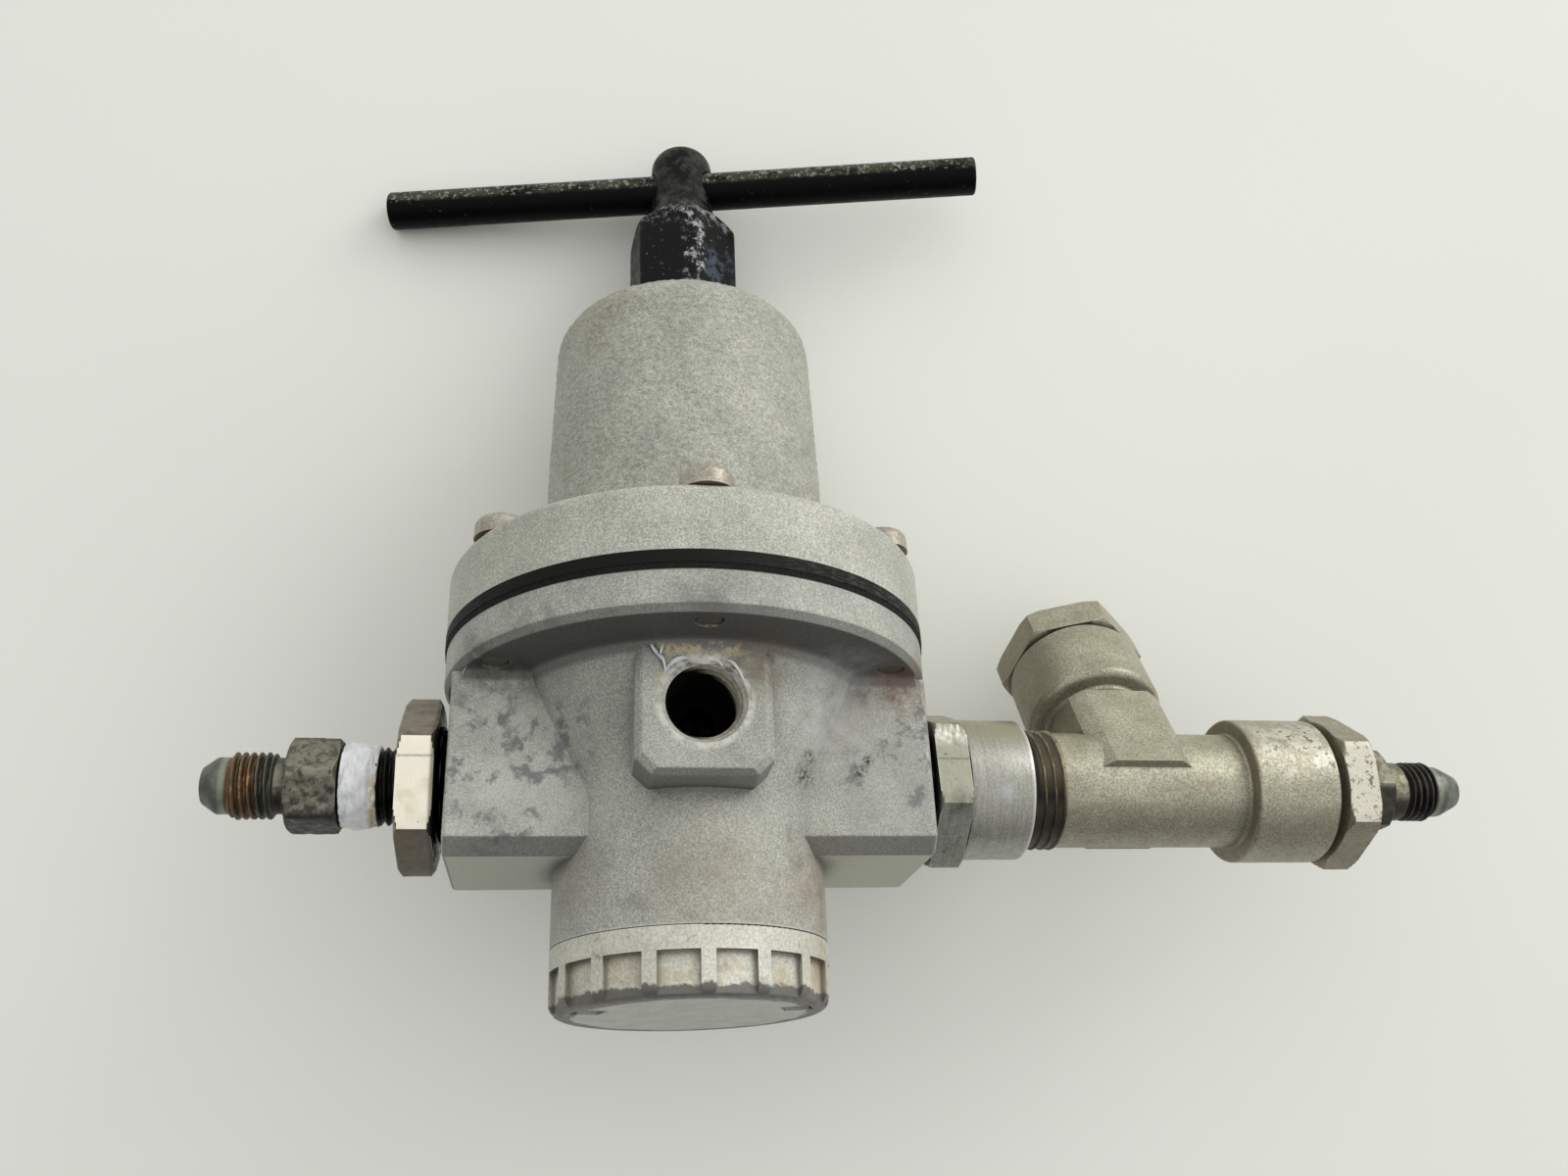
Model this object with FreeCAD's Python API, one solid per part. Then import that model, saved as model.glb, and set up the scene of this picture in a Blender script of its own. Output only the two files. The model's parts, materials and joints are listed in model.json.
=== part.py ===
import FreeCAD, Part
import math
import os

# Air pressure regulator with a T-handle, a six-screw bonnet and the pipe fittings on its two ports.
# Millimetres. +Z runs up the regulator's axis to the handle, +X to the outlet fittings, -Y to the gauge port.
# The origin is the centre of the bottom cap's underside. Heights called *_Z are above that face.

V = FreeCAD.Vector
UP = V(0, 0, 1)
OUTLET = V(1, 0, 0)
INLET = V(-1, 0, 0)
FRONT = V(0, -1, 0)
REAR = V(0, 1, 0)

# --- valve body casting -------------------------------------------------------------------
PORT_Z = 38.2            # axis of the inlet and outlet ports
PORT_FACE = 40.25        # port block's end face, from the regulator's axis
BLOCK_HALF = 15.0        # port block is 30 mm square
BLOCK_CHAMFER = 2.75
BLOCK_EDGE_R = 1.0
BARREL_R = 23.0          # lower cylinder of the body, and the bottom cap
CAP_TOP_Z = 10.5
FUNNEL_LOW_Z = PORT_Z - 1.4
FUNNEL_LOW_R = 23.3
FUNNEL_TOP_R = 31.6
ROOT_FILLET = 3.0        # under the flange
FLANGE_R = 42.5
FLANGE_LOW_Z = PORT_Z + 15.3
FLANGE_TOP_Z = PORT_Z + 22.3
GASKET_T = 1.0
DIAPHRAGM_T = 2.2
BONNET_LOW_Z = FLANGE_TOP_Z + GASKET_T + DIAPHRAGM_T

GAUGE_Z = PORT_Z + 5.3
GAUGE_FACE = 30.0        # gauge pad's face, from the regulator's axis
GAUGE_THREAD_R = 6.2     # 1/4 NPT
GAUGE_THREAD_LEN = 12.0
PAD_HALF = 11.0
PAD_LOW_Z = PORT_Z - 6.6
PAD_EDGE = 1.1
PAD_EDGE_R = 0.8

PIPE_THREAD_R = 10.4     # 1/2 NPT, mean radius of the engaged thread
PIPE_THREAD_LEN = 14.0
SMALL_PIPE_R = 6.6       # 1/4 NPT male, mean radius

INLET_CHAMBER_R = 16.5
CAP_THREAD_R = 18.5
CAP_THREAD_TOP_Z = 20.0
WEB_LOW_Z = PORT_Z - 4.0
WEB_TOP_Z = PORT_Z + 1.0
THROAT_R = 12.0
DISH_R = 30.0
DISH_FLOOR_Z = PORT_Z + 17.0
PASSAGE_R = 4.5
ASPIRATOR_X = 17.0
ASPIRATOR_R = 1.5

# --- bonnet -------------------------------------------------------------------------------
BONNET_FLANGE_R = 42.7
BONNET_FLANGE_TOP_Z = PORT_Z + 37.5
BONNET_LOW_R = 26.8
BONNET_TOP_R = 24.8
BONNET_TOP_Z = PORT_Z + 94.1
BONNET_SHOULDER = 7.0
BONNET_BORE_R = 22.2
BONNET_CEILING_Z = PORT_Z + 85.0
BONNET_CAVITY_R = 30.0
SHANK_WELL_R = 12.6
SHANK_WELL_FLOOR_Z = PORT_Z + 88.1
INSERT_LOW_Z = PORT_Z + 80.0
INSERT_R = 10.5

# --- flange screws ------------------------------------------------------------------------
SCREW_COUNT = 6
SCREW_CIRCLE_R = 38.3
SCREW_R = 2.4
SCREW_HOLE_R = 2.7
SCREW_HEAD_R = 4.6
SCREW_HEAD_H = 3.7
SCREW_TIP_Z = FLANGE_LOW_Z + 0.3

# --- adjusting screw and handle -----------------------------------------------------------
SPINDLE_R = 6.35         # 1/2-20 thread
SPINDLE_FIT = 0.06
SHANK_FLATS = 20.2
SHANK_EDGE_R = 0.9
SHANK_TURN = 8.0         # degrees from the front to the hexagon's first corner
SHANK_LOW_Z = PORT_Z + 99.3
SHANK_TOP_Z = PORT_Z + 123.6
NECK_R = 6.5
HEAD_TOP_Z = PORT_Z + 143.0
BAR_Z = PORT_Z + 133.0
BAR_R = 7.94 / 2
BAR_LEN = 127.0
BAR_TURN = -11.4         # degrees from +X about +Z

# --- moving parts inside ------------------------------------------------------------------
REST_TOP_Z = PORT_Z + 78.0
REST_DISC_TOP_Z = PORT_Z + 75.0
REST_DISC_LOW_Z = PORT_Z + 72.0
REST_R = 16.0
PIVOT_R = 3.0
PIVOT_FIT = 0.05
PLATE_R = 23.5
PLATE_T = 2.4
HUB_R = 5.0
RELIEF_R = 1.1
HUB_LOW_Z = PORT_Z + 17.6
SPRING_WIRE_R = 1.8
SPRING_R = 13.0
SPRING_TURNS = 6.5
SEAT_ORIFICE_R = 4.5
SEAT_LIP_Z = PORT_Z - 6.2
STEM_R = 1.6
POPPET_R = 8.8
POPPET_GUIDE_R = 4.0
GUIDE_FIT = 0.05
VALVE_GAP = 0.05
VALVE_SPRING_WIRE_R = 0.6
VALVE_SPRING_R = 6.6
VALVE_SPRING_TURNS = 5.5
CAP_POCKET_Z = 12.2
POPPET_FLANGE_LOW_Z = PORT_Z - 10.6

# --- bottom cap ---------------------------------------------------------------------------
NOTCH_COUNT = 16
NOTCH_FIRST = -9.5       # degrees from the front towards the outlet
NOTCH_SPAN = 16.8        # degrees
NOTCH_DEPTH = 1.2
NOTCH_LOW_Z = 0.4
NOTCH_TOP_Z = 6.8
CAP_EDGE = 2.2
DISC_R = 19.4
DISC_T = 1.5
KEY_SLOT_ANGLES = (-70.0, 70.0)

# --- fittings, measured along X from the regulator's axis ---------------------------------
FLARE_R = 7.0 / 16 * 25.4 / 2     # 7/16-20 flare thread
FLARE_BORE_R = 2.4
INLET_TIP = 80.3
INLET_THREAD = (68.7, 75.8)
INLET_HEX = (58.2, 66.4)
INLET_TAPE = (52.2, 57.8)
INLET_BUSHING_HEX = (42.2, 48.2)
OUTLET_ADAPTER_HEX = (41.9, 47.7)
OUTLET_COLLAR_END = 59.4
TEE_THREAD_END = 65.3
TEE_X = 81.2
TEE_BODY_R = 10.4
TEE_COLLAR = (100.7, 116.4)
TEE_COLLAR_R = 13.2
TEE_TILT = 29.7          # degrees from +Z towards +Y
BRANCH_COLLAR = (18.3, 33.6)
BRANCH_PLUG_HEX = (34.4, 40.9)
BRANCH_PLUG_TURN = 13.5  # degrees from +X to the hexagon's first corner
TEE_WEB_HALF = 9.0
TEE_WEB_THICK = 11.2
TEE_WEB_R = 12.8
TEE_WEB_LOW = -4.0
OUTLET_BUSHING_HEX = (117.9, 124.1)
OUTLET_HEX = (125.0, 131.0)
OUTLET_THREAD = (135.8, 141.3)
OUTLET_TIP = 147.1
SMALL_HEX_FLATS = 9.0 / 16 * 25.4
INLET_BUSHING_FLATS = 26.0
LARGE_HEX_FLATS = 25.4
ADAPTER_HEX_FLATS = 25.4
ADAPTER_COLLAR_R = 12.5


def polar(radius, degrees, z):
    """Point at an angle from the front (-Y), positive towards the outlet (+X)."""
    a = math.radians(degrees)
    return V(radius * math.sin(a), -radius * math.cos(a), z)


def corner(before, point, after, radius):
    """Start, middle and end of the arc that rounds one corner of an outline."""
    back = (before - point).normalize()
    ahead = (after - point).normalize()
    half = back.getAngle(ahead) / 2
    reach = radius / math.tan(half)
    centre = point + (back + ahead).normalize() * (radius / math.sin(half))
    middle = centre + (point - centre).normalize() * radius
    return point + back * reach, middle, point + ahead * reach


def outline(points):
    """Closed wire in the XZ plane through (x, z) points; a third number rounds that corner."""
    count = len(points)
    flat = [V(p[0], 0, p[1]) for p in points]
    ends = []
    edges = []
    for i, p in enumerate(points):
        if len(p) == 3:
            start, middle, end = corner(flat[i - 1], flat[i], flat[(i + 1) % count], p[2])
            edges.append((i, Part.Arc(start, middle, end).toShape()))
            ends.append((start, end))
        else:
            ends.append((flat[i], flat[i]))
    for i in range(count):
        start = ends[i][1]
        end = ends[(i + 1) % count][0]
        if start.distanceToPoint(end) > 1e-6:
            edges.append((i + 0.5, Part.LineSegment(start, end).toShape()))
    edges.sort(key=lambda item: item[0])
    return Part.Wire([edge for _, edge in edges])


def turned(points, base=V(0, 0, 0), axis=UP):
    """Solid of revolution from (radius, height) points, standing at base along axis."""
    solid = Part.Face(outline(points)).revolve(V(0, 0, 0), UP, 360)
    solid = Part.makeSolid(solid) if solid.ShapeType != "Solid" else solid
    solid.Placement = FreeCAD.Placement(base, FreeCAD.Rotation(UP, axis))
    return solid


def rod(radius, low, high, base=V(0, 0, 0), axis=UP):
    """Plain cylinder along an axis, from low to high."""
    return Part.makeCylinder(radius, high - low, base + axis * low, axis)


def ring(inner, outer, low, high, base=V(0, 0, 0), axis=UP):
    return turned([(inner, low), (outer, low), (outer, high), (inner, high)], base, axis)


def box(x, y, z):
    """Box from three (low, high) pairs."""
    return Part.makeBox(x[1] - x[0], y[1] - y[0], z[1] - z[0], V(x[0], y[0], z[0]))


def hexagon(flats, low, high, base, axis, first_corner, chamfer=0.0):
    """Hexagonal prism along an axis, its corners cut by a cone at the ends as on a nut."""
    circum = flats / math.sqrt(3)
    reference = axis.cross(first_corner).cross(axis).normalize()
    side = axis.cross(reference)
    corners = []
    for k in range(6):
        a = math.radians(60 * k)
        corners.append(base + axis * low + reference * (circum * math.cos(a)) + side * (circum * math.sin(a)))
    prism = Part.Face(Part.makePolygon(corners + corners[:1])).extrude(axis * (high - low))
    if not chamfer:
        return prism
    rise = chamfer * 0.6
    inner = circum - chamfer
    cone = turned([(0, low), (inner, low), (circum, low + rise), (circum, high - rise), (inner, high),
                   (0, high)], base, axis)
    return prism.common(cone)


def around_x(degrees):
    """Direction in the YZ plane at an angle from the front (-Y) towards +Z."""
    a = math.radians(degrees)
    return V(0, -math.cos(a), math.sin(a))


def coil(radius, wire_radius, low, high, turns):
    """Helical spring between two flat seats."""
    start = low + wire_radius
    height = high - low - 2 * wire_radius
    spine = Part.makeHelix(height / turns, height, radius)
    profile = Part.Wire(Part.makeCircle(wire_radius, V(radius, 0, 0), V(0, 1, 0)))
    spring = Part.Wire(spine.Edges).makePipeShell([profile], True, True)
    spring.translate(V(0, 0, start))
    return spring


PORT = V(0, 0, PORT_Z)
GAUGE = V(0, 0, GAUGE_Z)
TEE = V(TEE_X, 0, PORT_Z)
TILT = math.radians(TEE_TILT)
BRANCH = V(0, math.sin(TILT), math.cos(TILT))
SCREW_ANGLES = [k * 360.0 / SCREW_COUNT for k in range(SCREW_COUNT)]


def drilled(solid, radius, low, high, centre_radius=SCREW_CIRCLE_R):
    """Cut the six flange-screw holes."""
    for angle in SCREW_ANGLES:
        solid = solid.cut(rod(radius, low, high, polar(centre_radius, angle, 0)))
    return solid


def eased(solid, radius, wanted):
    """Round the edges whose middle passes a test."""
    edges = []
    for edge in solid.Edges:
        middle = edge.valueAt((edge.FirstParameter + edge.LastParameter) / 2)
        if wanted(middle):
            edges.append(edge)
    return solid.makeFillet(radius, edges)


def gauge_pad(axis):
    """Raised rectangular pad for a gauge, with a chamfered face and eased edges."""
    def section(inset, depth):
        half = PAD_HALF - inset
        low = PAD_LOW_Z + inset
        cut = 2.6
        points = [(-half, FLANGE_LOW_Z), (-half, low + cut), (-half + cut, low), (half - cut, low),
                  (half, low + cut), (half, FLANGE_LOW_Z)]
        loop = [V(x, axis.y * depth, z) for x, z in points]
        return Part.makePolygon(loop + loop[:1])
    shank = Part.makeLoft([section(0, 8.0), section(0, GAUGE_FACE - PAD_EDGE)], True, True)
    face = Part.makeLoft([section(0, GAUGE_FACE - PAD_EDGE), section(PAD_EDGE, GAUGE_FACE)], True, True)
    pad = shank.fuse(face).removeSplitter()
    return eased(pad, PAD_EDGE_R, lambda p: abs(p.y) > 8.5 and p.z < FLANGE_LOW_Z - 0.01)


def port_blocks():
    """Square block across the body that holds both port threads."""
    h = BLOCK_HALF
    c = BLOCK_CHAMFER
    top = FLANGE_LOW_Z - PORT_Z
    points = [(-h, top), (-h, -h + c), (-h + c, -h), (h - c, -h), (h, -h + c), (h, top)]
    loop = [V(-PORT_FACE, y, PORT_Z + z) for y, z in points]
    block = Part.Face(Part.makePolygon(loop + loop[:1])).extrude(V(2 * PORT_FACE, 0, 0))
    block = eased(block, BLOCK_EDGE_R, lambda p: p.z < FLANGE_LOW_Z - 0.01)
    f = ROOT_FILLET
    for side in (-1, 1):
        corner_point = V(-PORT_FACE, side * h, FLANGE_LOW_Z)
        out = V(-PORT_FACE, side * (h + f), FLANGE_LOW_Z)
        down = V(-PORT_FACE, side * h, FLANGE_LOW_Z - f)
        centre = V(-PORT_FACE, side * (h + f), FLANGE_LOW_Z - f)
        middle = centre + (corner_point - centre).normalize() * f
        edges = [Part.LineSegment(corner_point, out).toShape(), Part.Arc(out, middle, down).toShape(),
                 Part.LineSegment(down, corner_point).toShape()]
        fillet = Part.Face(Part.Wire(edges)).extrude(V(2 * PORT_FACE, 0, 0))
        block = block.fuse(fillet.common(rod(FLANGE_R - 1.0, FLANGE_LOW_Z - f - 1, FLANGE_LOW_Z)))
    return block


def valve_body():
    shell = turned([(0, CAP_TOP_Z), (BARREL_R, CAP_TOP_Z), (BARREL_R, FUNNEL_LOW_Z - 4.0, 12.0),
                    (FUNNEL_TOP_R, FLANGE_LOW_Z, ROOT_FILLET), (FLANGE_R - 0.9, FLANGE_LOW_Z, 0.4),
                    (FLANGE_R, FLANGE_LOW_Z + 1.4, 0.6), (FLANGE_R, FLANGE_TOP_Z), (0, FLANGE_TOP_Z)])
    shell = shell.fuse([port_blocks(), gauge_pad(FRONT), gauge_pad(REAR)])
    shell = shell.cut(rod(CAP_THREAD_R, CAP_TOP_Z, CAP_THREAD_TOP_Z))
    shell = shell.cut(rod(INLET_CHAMBER_R, CAP_THREAD_TOP_Z, WEB_LOW_Z))
    shell = shell.cut(rod(8.0, WEB_LOW_Z, WEB_TOP_Z))
    shell = shell.cut(rod(THROAT_R, WEB_TOP_Z, DISH_FLOOR_Z))
    shell = shell.cut(rod(DISH_R, DISH_FLOOR_Z, FLANGE_TOP_Z))
    for axis, passage_z in ((INLET, PORT_Z - 9.5), (OUTLET, PORT_Z + 7.0)):
        shell = shell.cut(rod(PIPE_THREAD_R, PORT_FACE - PIPE_THREAD_LEN - 1.0, PORT_FACE, PORT, axis))
        shell = shell.cut(turned([(0, 0), (PIPE_THREAD_R, 0), (PIPE_THREAD_R + 0.8, 0.8), (0, 0.8)],
                                 PORT + axis * (PORT_FACE - 0.8), axis))
        shell = shell.cut(rod(PASSAGE_R, 10.0, PORT_FACE - PIPE_THREAD_LEN, V(0, 0, passage_z), axis))
    for axis in (FRONT, REAR):
        shell = shell.cut(rod(GAUGE_THREAD_R, GAUGE_FACE - GAUGE_THREAD_LEN, GAUGE_FACE, GAUGE, axis))
        shell = shell.cut(turned([(0, 0), (GAUGE_THREAD_R, 0), (GAUGE_THREAD_R + 0.7, 0.7), (0, 0.7)],
                                 GAUGE + axis * (GAUGE_FACE - 0.7), axis))
        shell = shell.cut(rod(3.0, 8.0, GAUGE_FACE - GAUGE_THREAD_LEN, GAUGE, axis))
    shell = shell.cut(rod(ASPIRATOR_R, PORT_Z + 7.0, DISH_FLOOR_Z, V(ASPIRATOR_X, 0, 0)))
    return drilled(shell, SCREW_R, SCREW_TIP_Z - 1, FLANGE_TOP_Z)


def aspirator_tube():
    """Small tube that lets the outlet pressure, drawn down by the flow, act on the diaphragm."""
    return ring(ASPIRATOR_R - 0.6, ASPIRATOR_R, PORT_Z + 8.0, DISH_FLOOR_Z + 0.4, V(ASPIRATOR_X, 0, 0))


def valve_seat():
    return turned([(SEAT_ORIFICE_R, SEAT_LIP_Z), (SEAT_ORIFICE_R + 1.2, SEAT_LIP_Z),
                   (SEAT_ORIFICE_R + 1.8, WEB_LOW_Z - 1.5), (9.6, WEB_LOW_Z - 1.5), (9.6, WEB_LOW_Z - 0.4),
                   (8.0, WEB_LOW_Z - 0.4), (8.0, WEB_TOP_Z), (SEAT_ORIFICE_R, WEB_TOP_Z)])


def seat_gasket():
    return ring(8.0, 9.6, WEB_LOW_Z - 0.4, WEB_LOW_Z)


def diaphragm_gasket():
    disc = ring(DISH_R, BONNET_FLANGE_R, FLANGE_TOP_Z, FLANGE_TOP_Z + GASKET_T)
    return drilled(disc, SCREW_HOLE_R, FLANGE_TOP_Z - 1, BONNET_LOW_Z + 1)


def diaphragm():
    """Fabric-reinforced rubber disc with one rolled convolution between its rim and the plates."""
    low = FLANGE_TOP_Z + GASKET_T
    high = BONNET_LOW_Z
    roll = 2.2
    disc = turned([(HUB_R, low), (PLATE_R + 0.6, low, 1.5), (PLATE_R + 2.4, low + roll, 1.2),
                   (DISH_R - 2.0, low + roll, 1.2), (DISH_R - 0.6, low, 1.0), (BONNET_FLANGE_R + 0.1, low),
                   (BONNET_FLANGE_R + 0.1, high), (DISH_R - 0.6, high, 1.0), (DISH_R - 2.6, high + roll, 1.4),
                   (PLATE_R + 3.0, high + roll, 1.4), (PLATE_R + 0.6, high, 1.0), (HUB_R, high)])
    return drilled(disc, SCREW_HOLE_R, low - 1, high + 1)


def bonnet():
    taper = (BONNET_LOW_R - BONNET_TOP_R) / (BONNET_TOP_Z - BONNET_FLANGE_TOP_Z)
    edge_r = BONNET_TOP_R + taper * BONNET_SHOULDER
    shell = turned([(0, BONNET_LOW_Z), (BONNET_FLANGE_R, BONNET_LOW_Z),
                    (BONNET_FLANGE_R, BONNET_FLANGE_TOP_Z, 1.8), (BONNET_LOW_R, BONNET_FLANGE_TOP_Z, 2.0),
                    (edge_r, BONNET_TOP_Z, BONNET_SHOULDER), (0, BONNET_TOP_Z)])
    bore = turned([(0, BONNET_LOW_Z), (BONNET_CAVITY_R, BONNET_LOW_Z),
                   (BONNET_CAVITY_R, BONNET_LOW_Z + 4.5, 1.5),
                   (BONNET_BORE_R + 1.2, BONNET_FLANGE_TOP_Z + 1.0),
                   (BONNET_BORE_R - 0.8, BONNET_CEILING_Z, 4.0), (14.0, BONNET_CEILING_Z),
                   (13.4, INSERT_LOW_Z), (0, INSERT_LOW_Z)])
    shell = shell.cut(bore)
    shell = shell.cut(rod(SHANK_WELL_R, SHANK_WELL_FLOOR_Z, BONNET_TOP_Z))
    shell = shell.cut(rod(INSERT_R, INSERT_LOW_Z, SHANK_WELL_FLOOR_Z))
    shell = shell.cut(rod(1.6, 15.0, 40.0, V(0, 0, BONNET_FLANGE_TOP_Z + 9.0), REAR))
    return drilled(shell, SCREW_HOLE_R, BONNET_LOW_Z - 1, BONNET_FLANGE_TOP_Z + 1)


def bonnet_insert():
    """Threaded steel bush that carries the adjusting screw."""
    return turned([(SPINDLE_R + SPINDLE_FIT, INSERT_LOW_Z), (INSERT_R, INSERT_LOW_Z),
                   (INSERT_R, SHANK_WELL_FLOOR_Z), (SPINDLE_R + SPINDLE_FIT, SHANK_WELL_FLOOR_Z)])


def bonnet_screws():
    solids = []
    seat = BONNET_FLANGE_TOP_Z
    head_top = seat + SCREW_HEAD_H
    for angle in SCREW_ANGLES:
        screw = turned([(0, SCREW_TIP_Z), (SCREW_R - 0.4, SCREW_TIP_Z), (SCREW_R, SCREW_TIP_Z + 0.5),
                        (SCREW_R, seat), (SCREW_HEAD_R, seat), (SCREW_HEAD_R - 0.1, head_top, 1.5),
                        (0, head_top)], polar(SCREW_CIRCLE_R, angle, 0))
        slot = box((-SCREW_HEAD_R, SCREW_HEAD_R), (-0.6, 0.6), (head_top - 1.3, head_top + 1))
        slot.rotate(V(0, 0, 0), UP, 37.0 * angle / 60.0)
        slot.translate(polar(SCREW_CIRCLE_R, angle, 0))
        solids.append(screw.cut(slot))
    return Part.makeCompound(solids)


def bottom_cap():
    """Castellated cap that closes the inlet chamber and guides the poppet."""
    cap = turned([(0, 0), (BARREL_R, 0, CAP_EDGE), (BARREL_R, CAP_TOP_Z, 0.3), (CAP_THREAD_R, CAP_TOP_Z),
                  (CAP_THREAD_R, CAP_THREAD_TOP_Z), (9.5, CAP_THREAD_TOP_Z), (9.5, CAP_POCKET_Z),
                  (5.6, CAP_POCKET_Z), (5.6, CAP_THREAD_TOP_Z + 2.5), (0, CAP_THREAD_TOP_Z + 2.5)])
    cap = cap.cut(rod(POPPET_GUIDE_R + GUIDE_FIT, 5.0, CAP_THREAD_TOP_Z + 3))
    cap = cap.cut(ring(CAP_THREAD_R - 2.2, CAP_THREAD_R + 0.1, CAP_TOP_Z + 0.6, CAP_TOP_Z + 3.0))
    cap = cap.cut(rod(DISC_R, -1, DISC_T))
    for angle in KEY_SLOT_ANGLES:
        slot = box((-2.4, 2.4), (-1.9, 1.9), (0, 4.2))
        slot.rotate(V(0, 0, 0), UP, angle)
        slot.translate(polar(DISC_R - 1.2, angle, 0))
        cap = cap.cut(slot)
    half = BARREL_R * math.sin(math.radians(NOTCH_SPAN / 2))
    floor = BARREL_R - NOTCH_DEPTH
    for k in range(NOTCH_COUNT):
        notch = box((-half, half), (-BARREL_R - 1, -floor), (NOTCH_LOW_Z, NOTCH_TOP_Z))
        notch.rotate(V(0, 0, 0), UP, NOTCH_FIRST + k * 360.0 / NOTCH_COUNT)
        cap = cap.cut(notch)
    return cap


def cap_disc():
    """Flat disc let into the cap's underside, with two openings for a pin spanner."""
    disc = rod(DISC_R, 0, DISC_T)
    for angle in KEY_SLOT_ANGLES:
        slot = box((-2.4, 2.4), (-1.9, 3.0), (-1, DISC_T + 1))
        slot.rotate(V(0, 0, 0), UP, angle)
        slot.translate(polar(DISC_R - 1.2, angle, 0))
        disc = disc.cut(slot)
    return disc


def cap_o_ring():
    return Part.makeTorus(CAP_THREAD_R - 1.1, 1.1, V(0, 0, CAP_TOP_Z + 1.8))


def rear_gauge_plug():
    """Flush socket plug in the rear gauge port."""
    plug = rod(GAUGE_THREAD_R, GAUGE_FACE - 9.0, GAUGE_FACE - 0.8, GAUGE, REAR)
    return plug.cut(hexagon(6.35, GAUGE_FACE - 5.5, GAUGE_FACE, GAUGE, REAR, UP))


def flare_end(thread, tip, start):
    """Flare seat, its thread and the relief behind it, as one turned blank with a through bore."""
    nose_r = FLARE_R - 0.85
    return [(FLARE_R - 0.9, start), (FLARE_R - 0.9, thread[0]), (FLARE_R, thread[0] + 0.5),
            (FLARE_R, thread[1] - 0.6), (nose_r, thread[1]), (nose_r, thread[1] + 2.2, 1.6),
            (FLARE_BORE_R + 0.6, tip, 0.6), (FLARE_BORE_R, tip)]


def flare_adapter(axis, tail, hex_span, thread, tip, first_corner, round_end):
    """Straight adapter: pipe thread, hexagon and flare end."""
    blank = [(FLARE_BORE_R, tail), (SMALL_PIPE_R - 0.5, tail), (SMALL_PIPE_R, tail + 0.8)]
    blank += [(SMALL_PIPE_R, hex_span[0]), (SMALL_PIPE_R - 0.2, hex_span[0])]
    blank += [(SMALL_PIPE_R - 0.2, hex_span[1])]
    blank += [(FLARE_R - 0.1, hex_span[1]), (FLARE_R - 0.1, round_end)]
    blank += flare_end(thread, tip, round_end)
    body = turned(blank, PORT, axis)
    nut = hexagon(SMALL_HEX_FLATS, hex_span[0], hex_span[1], PORT, axis, first_corner, 0.9)
    return body.fuse(nut.cut(rod(SMALL_PIPE_R - 1.0, hex_span[0] - 1, hex_span[1] + 1, PORT, axis)))


def pipe_bushing(axis, tail, hex_span, flats, first_corner):
    """Hexagon bushing: 1/2 NPT outside, 1/4 NPT inside."""
    body = turned([(SMALL_PIPE_R, tail), (PIPE_THREAD_R - 0.7, tail), (PIPE_THREAD_R, tail + 1.0),
                   (PIPE_THREAD_R, hex_span[0] + 1.0), (SMALL_PIPE_R, hex_span[0] + 1.0)], PORT, axis)
    nut = hexagon(flats, hex_span[0], hex_span[1], PORT, axis, first_corner, 1.2)
    return body.fuse(nut.cut(rod(SMALL_PIPE_R, hex_span[0] - 1, hex_span[1] + 1, PORT, axis)))


def inlet_bushing():
    tail = PORT_FACE - PIPE_THREAD_LEN + 1
    return pipe_bushing(INLET, tail, INLET_BUSHING_HEX, INLET_BUSHING_FLATS, around_x(47))


def inlet_flare_adapter():
    return flare_adapter(INLET, 40.0, INLET_HEX, INLET_THREAD, INLET_TIP, around_x(33), INLET_HEX[1] + 0.6)


def inlet_tape():
    """Sealing tape wound round the pipe thread, thicker in the middle."""
    low, high = INLET_TAPE
    return turned([(SMALL_PIPE_R, low), (SMALL_PIPE_R + 0.25, low), (SMALL_PIPE_R + 0.5, low + 1.5, 1.0),
                   (SMALL_PIPE_R + 0.6, high - 1.2, 0.8), (SMALL_PIPE_R + 0.3, high), (SMALL_PIPE_R, high)],
                  PORT, INLET)


def outlet_adapter():
    tail = PORT_FACE - PIPE_THREAD_LEN + 1
    hex_low, hex_high = OUTLET_ADAPTER_HEX
    body = turned([(8.0, tail), (PIPE_THREAD_R - 0.7, tail), (PIPE_THREAD_R, tail + 1),
                   (PIPE_THREAD_R, hex_low), (ADAPTER_COLLAR_R - 0.2, hex_low),
                   (ADAPTER_COLLAR_R - 0.2, hex_high),
                   (ADAPTER_COLLAR_R, hex_high), (ADAPTER_COLLAR_R, OUTLET_COLLAR_END, 0.5),
                   (PIPE_THREAD_R, OUTLET_COLLAR_END), (PIPE_THREAD_R, OUTLET_COLLAR_END - 12.0),
                   (8.0, OUTLET_COLLAR_END - 12.0)], PORT, OUTLET)
    nut = hexagon(ADAPTER_HEX_FLATS, hex_low, hex_high, PORT, OUTLET, around_x(5), 0.9)
    return body.fuse(nut.cut(rod(PIPE_THREAD_R + 0.5, hex_low - 1, hex_high + 1, PORT, OUTLET)))


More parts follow.
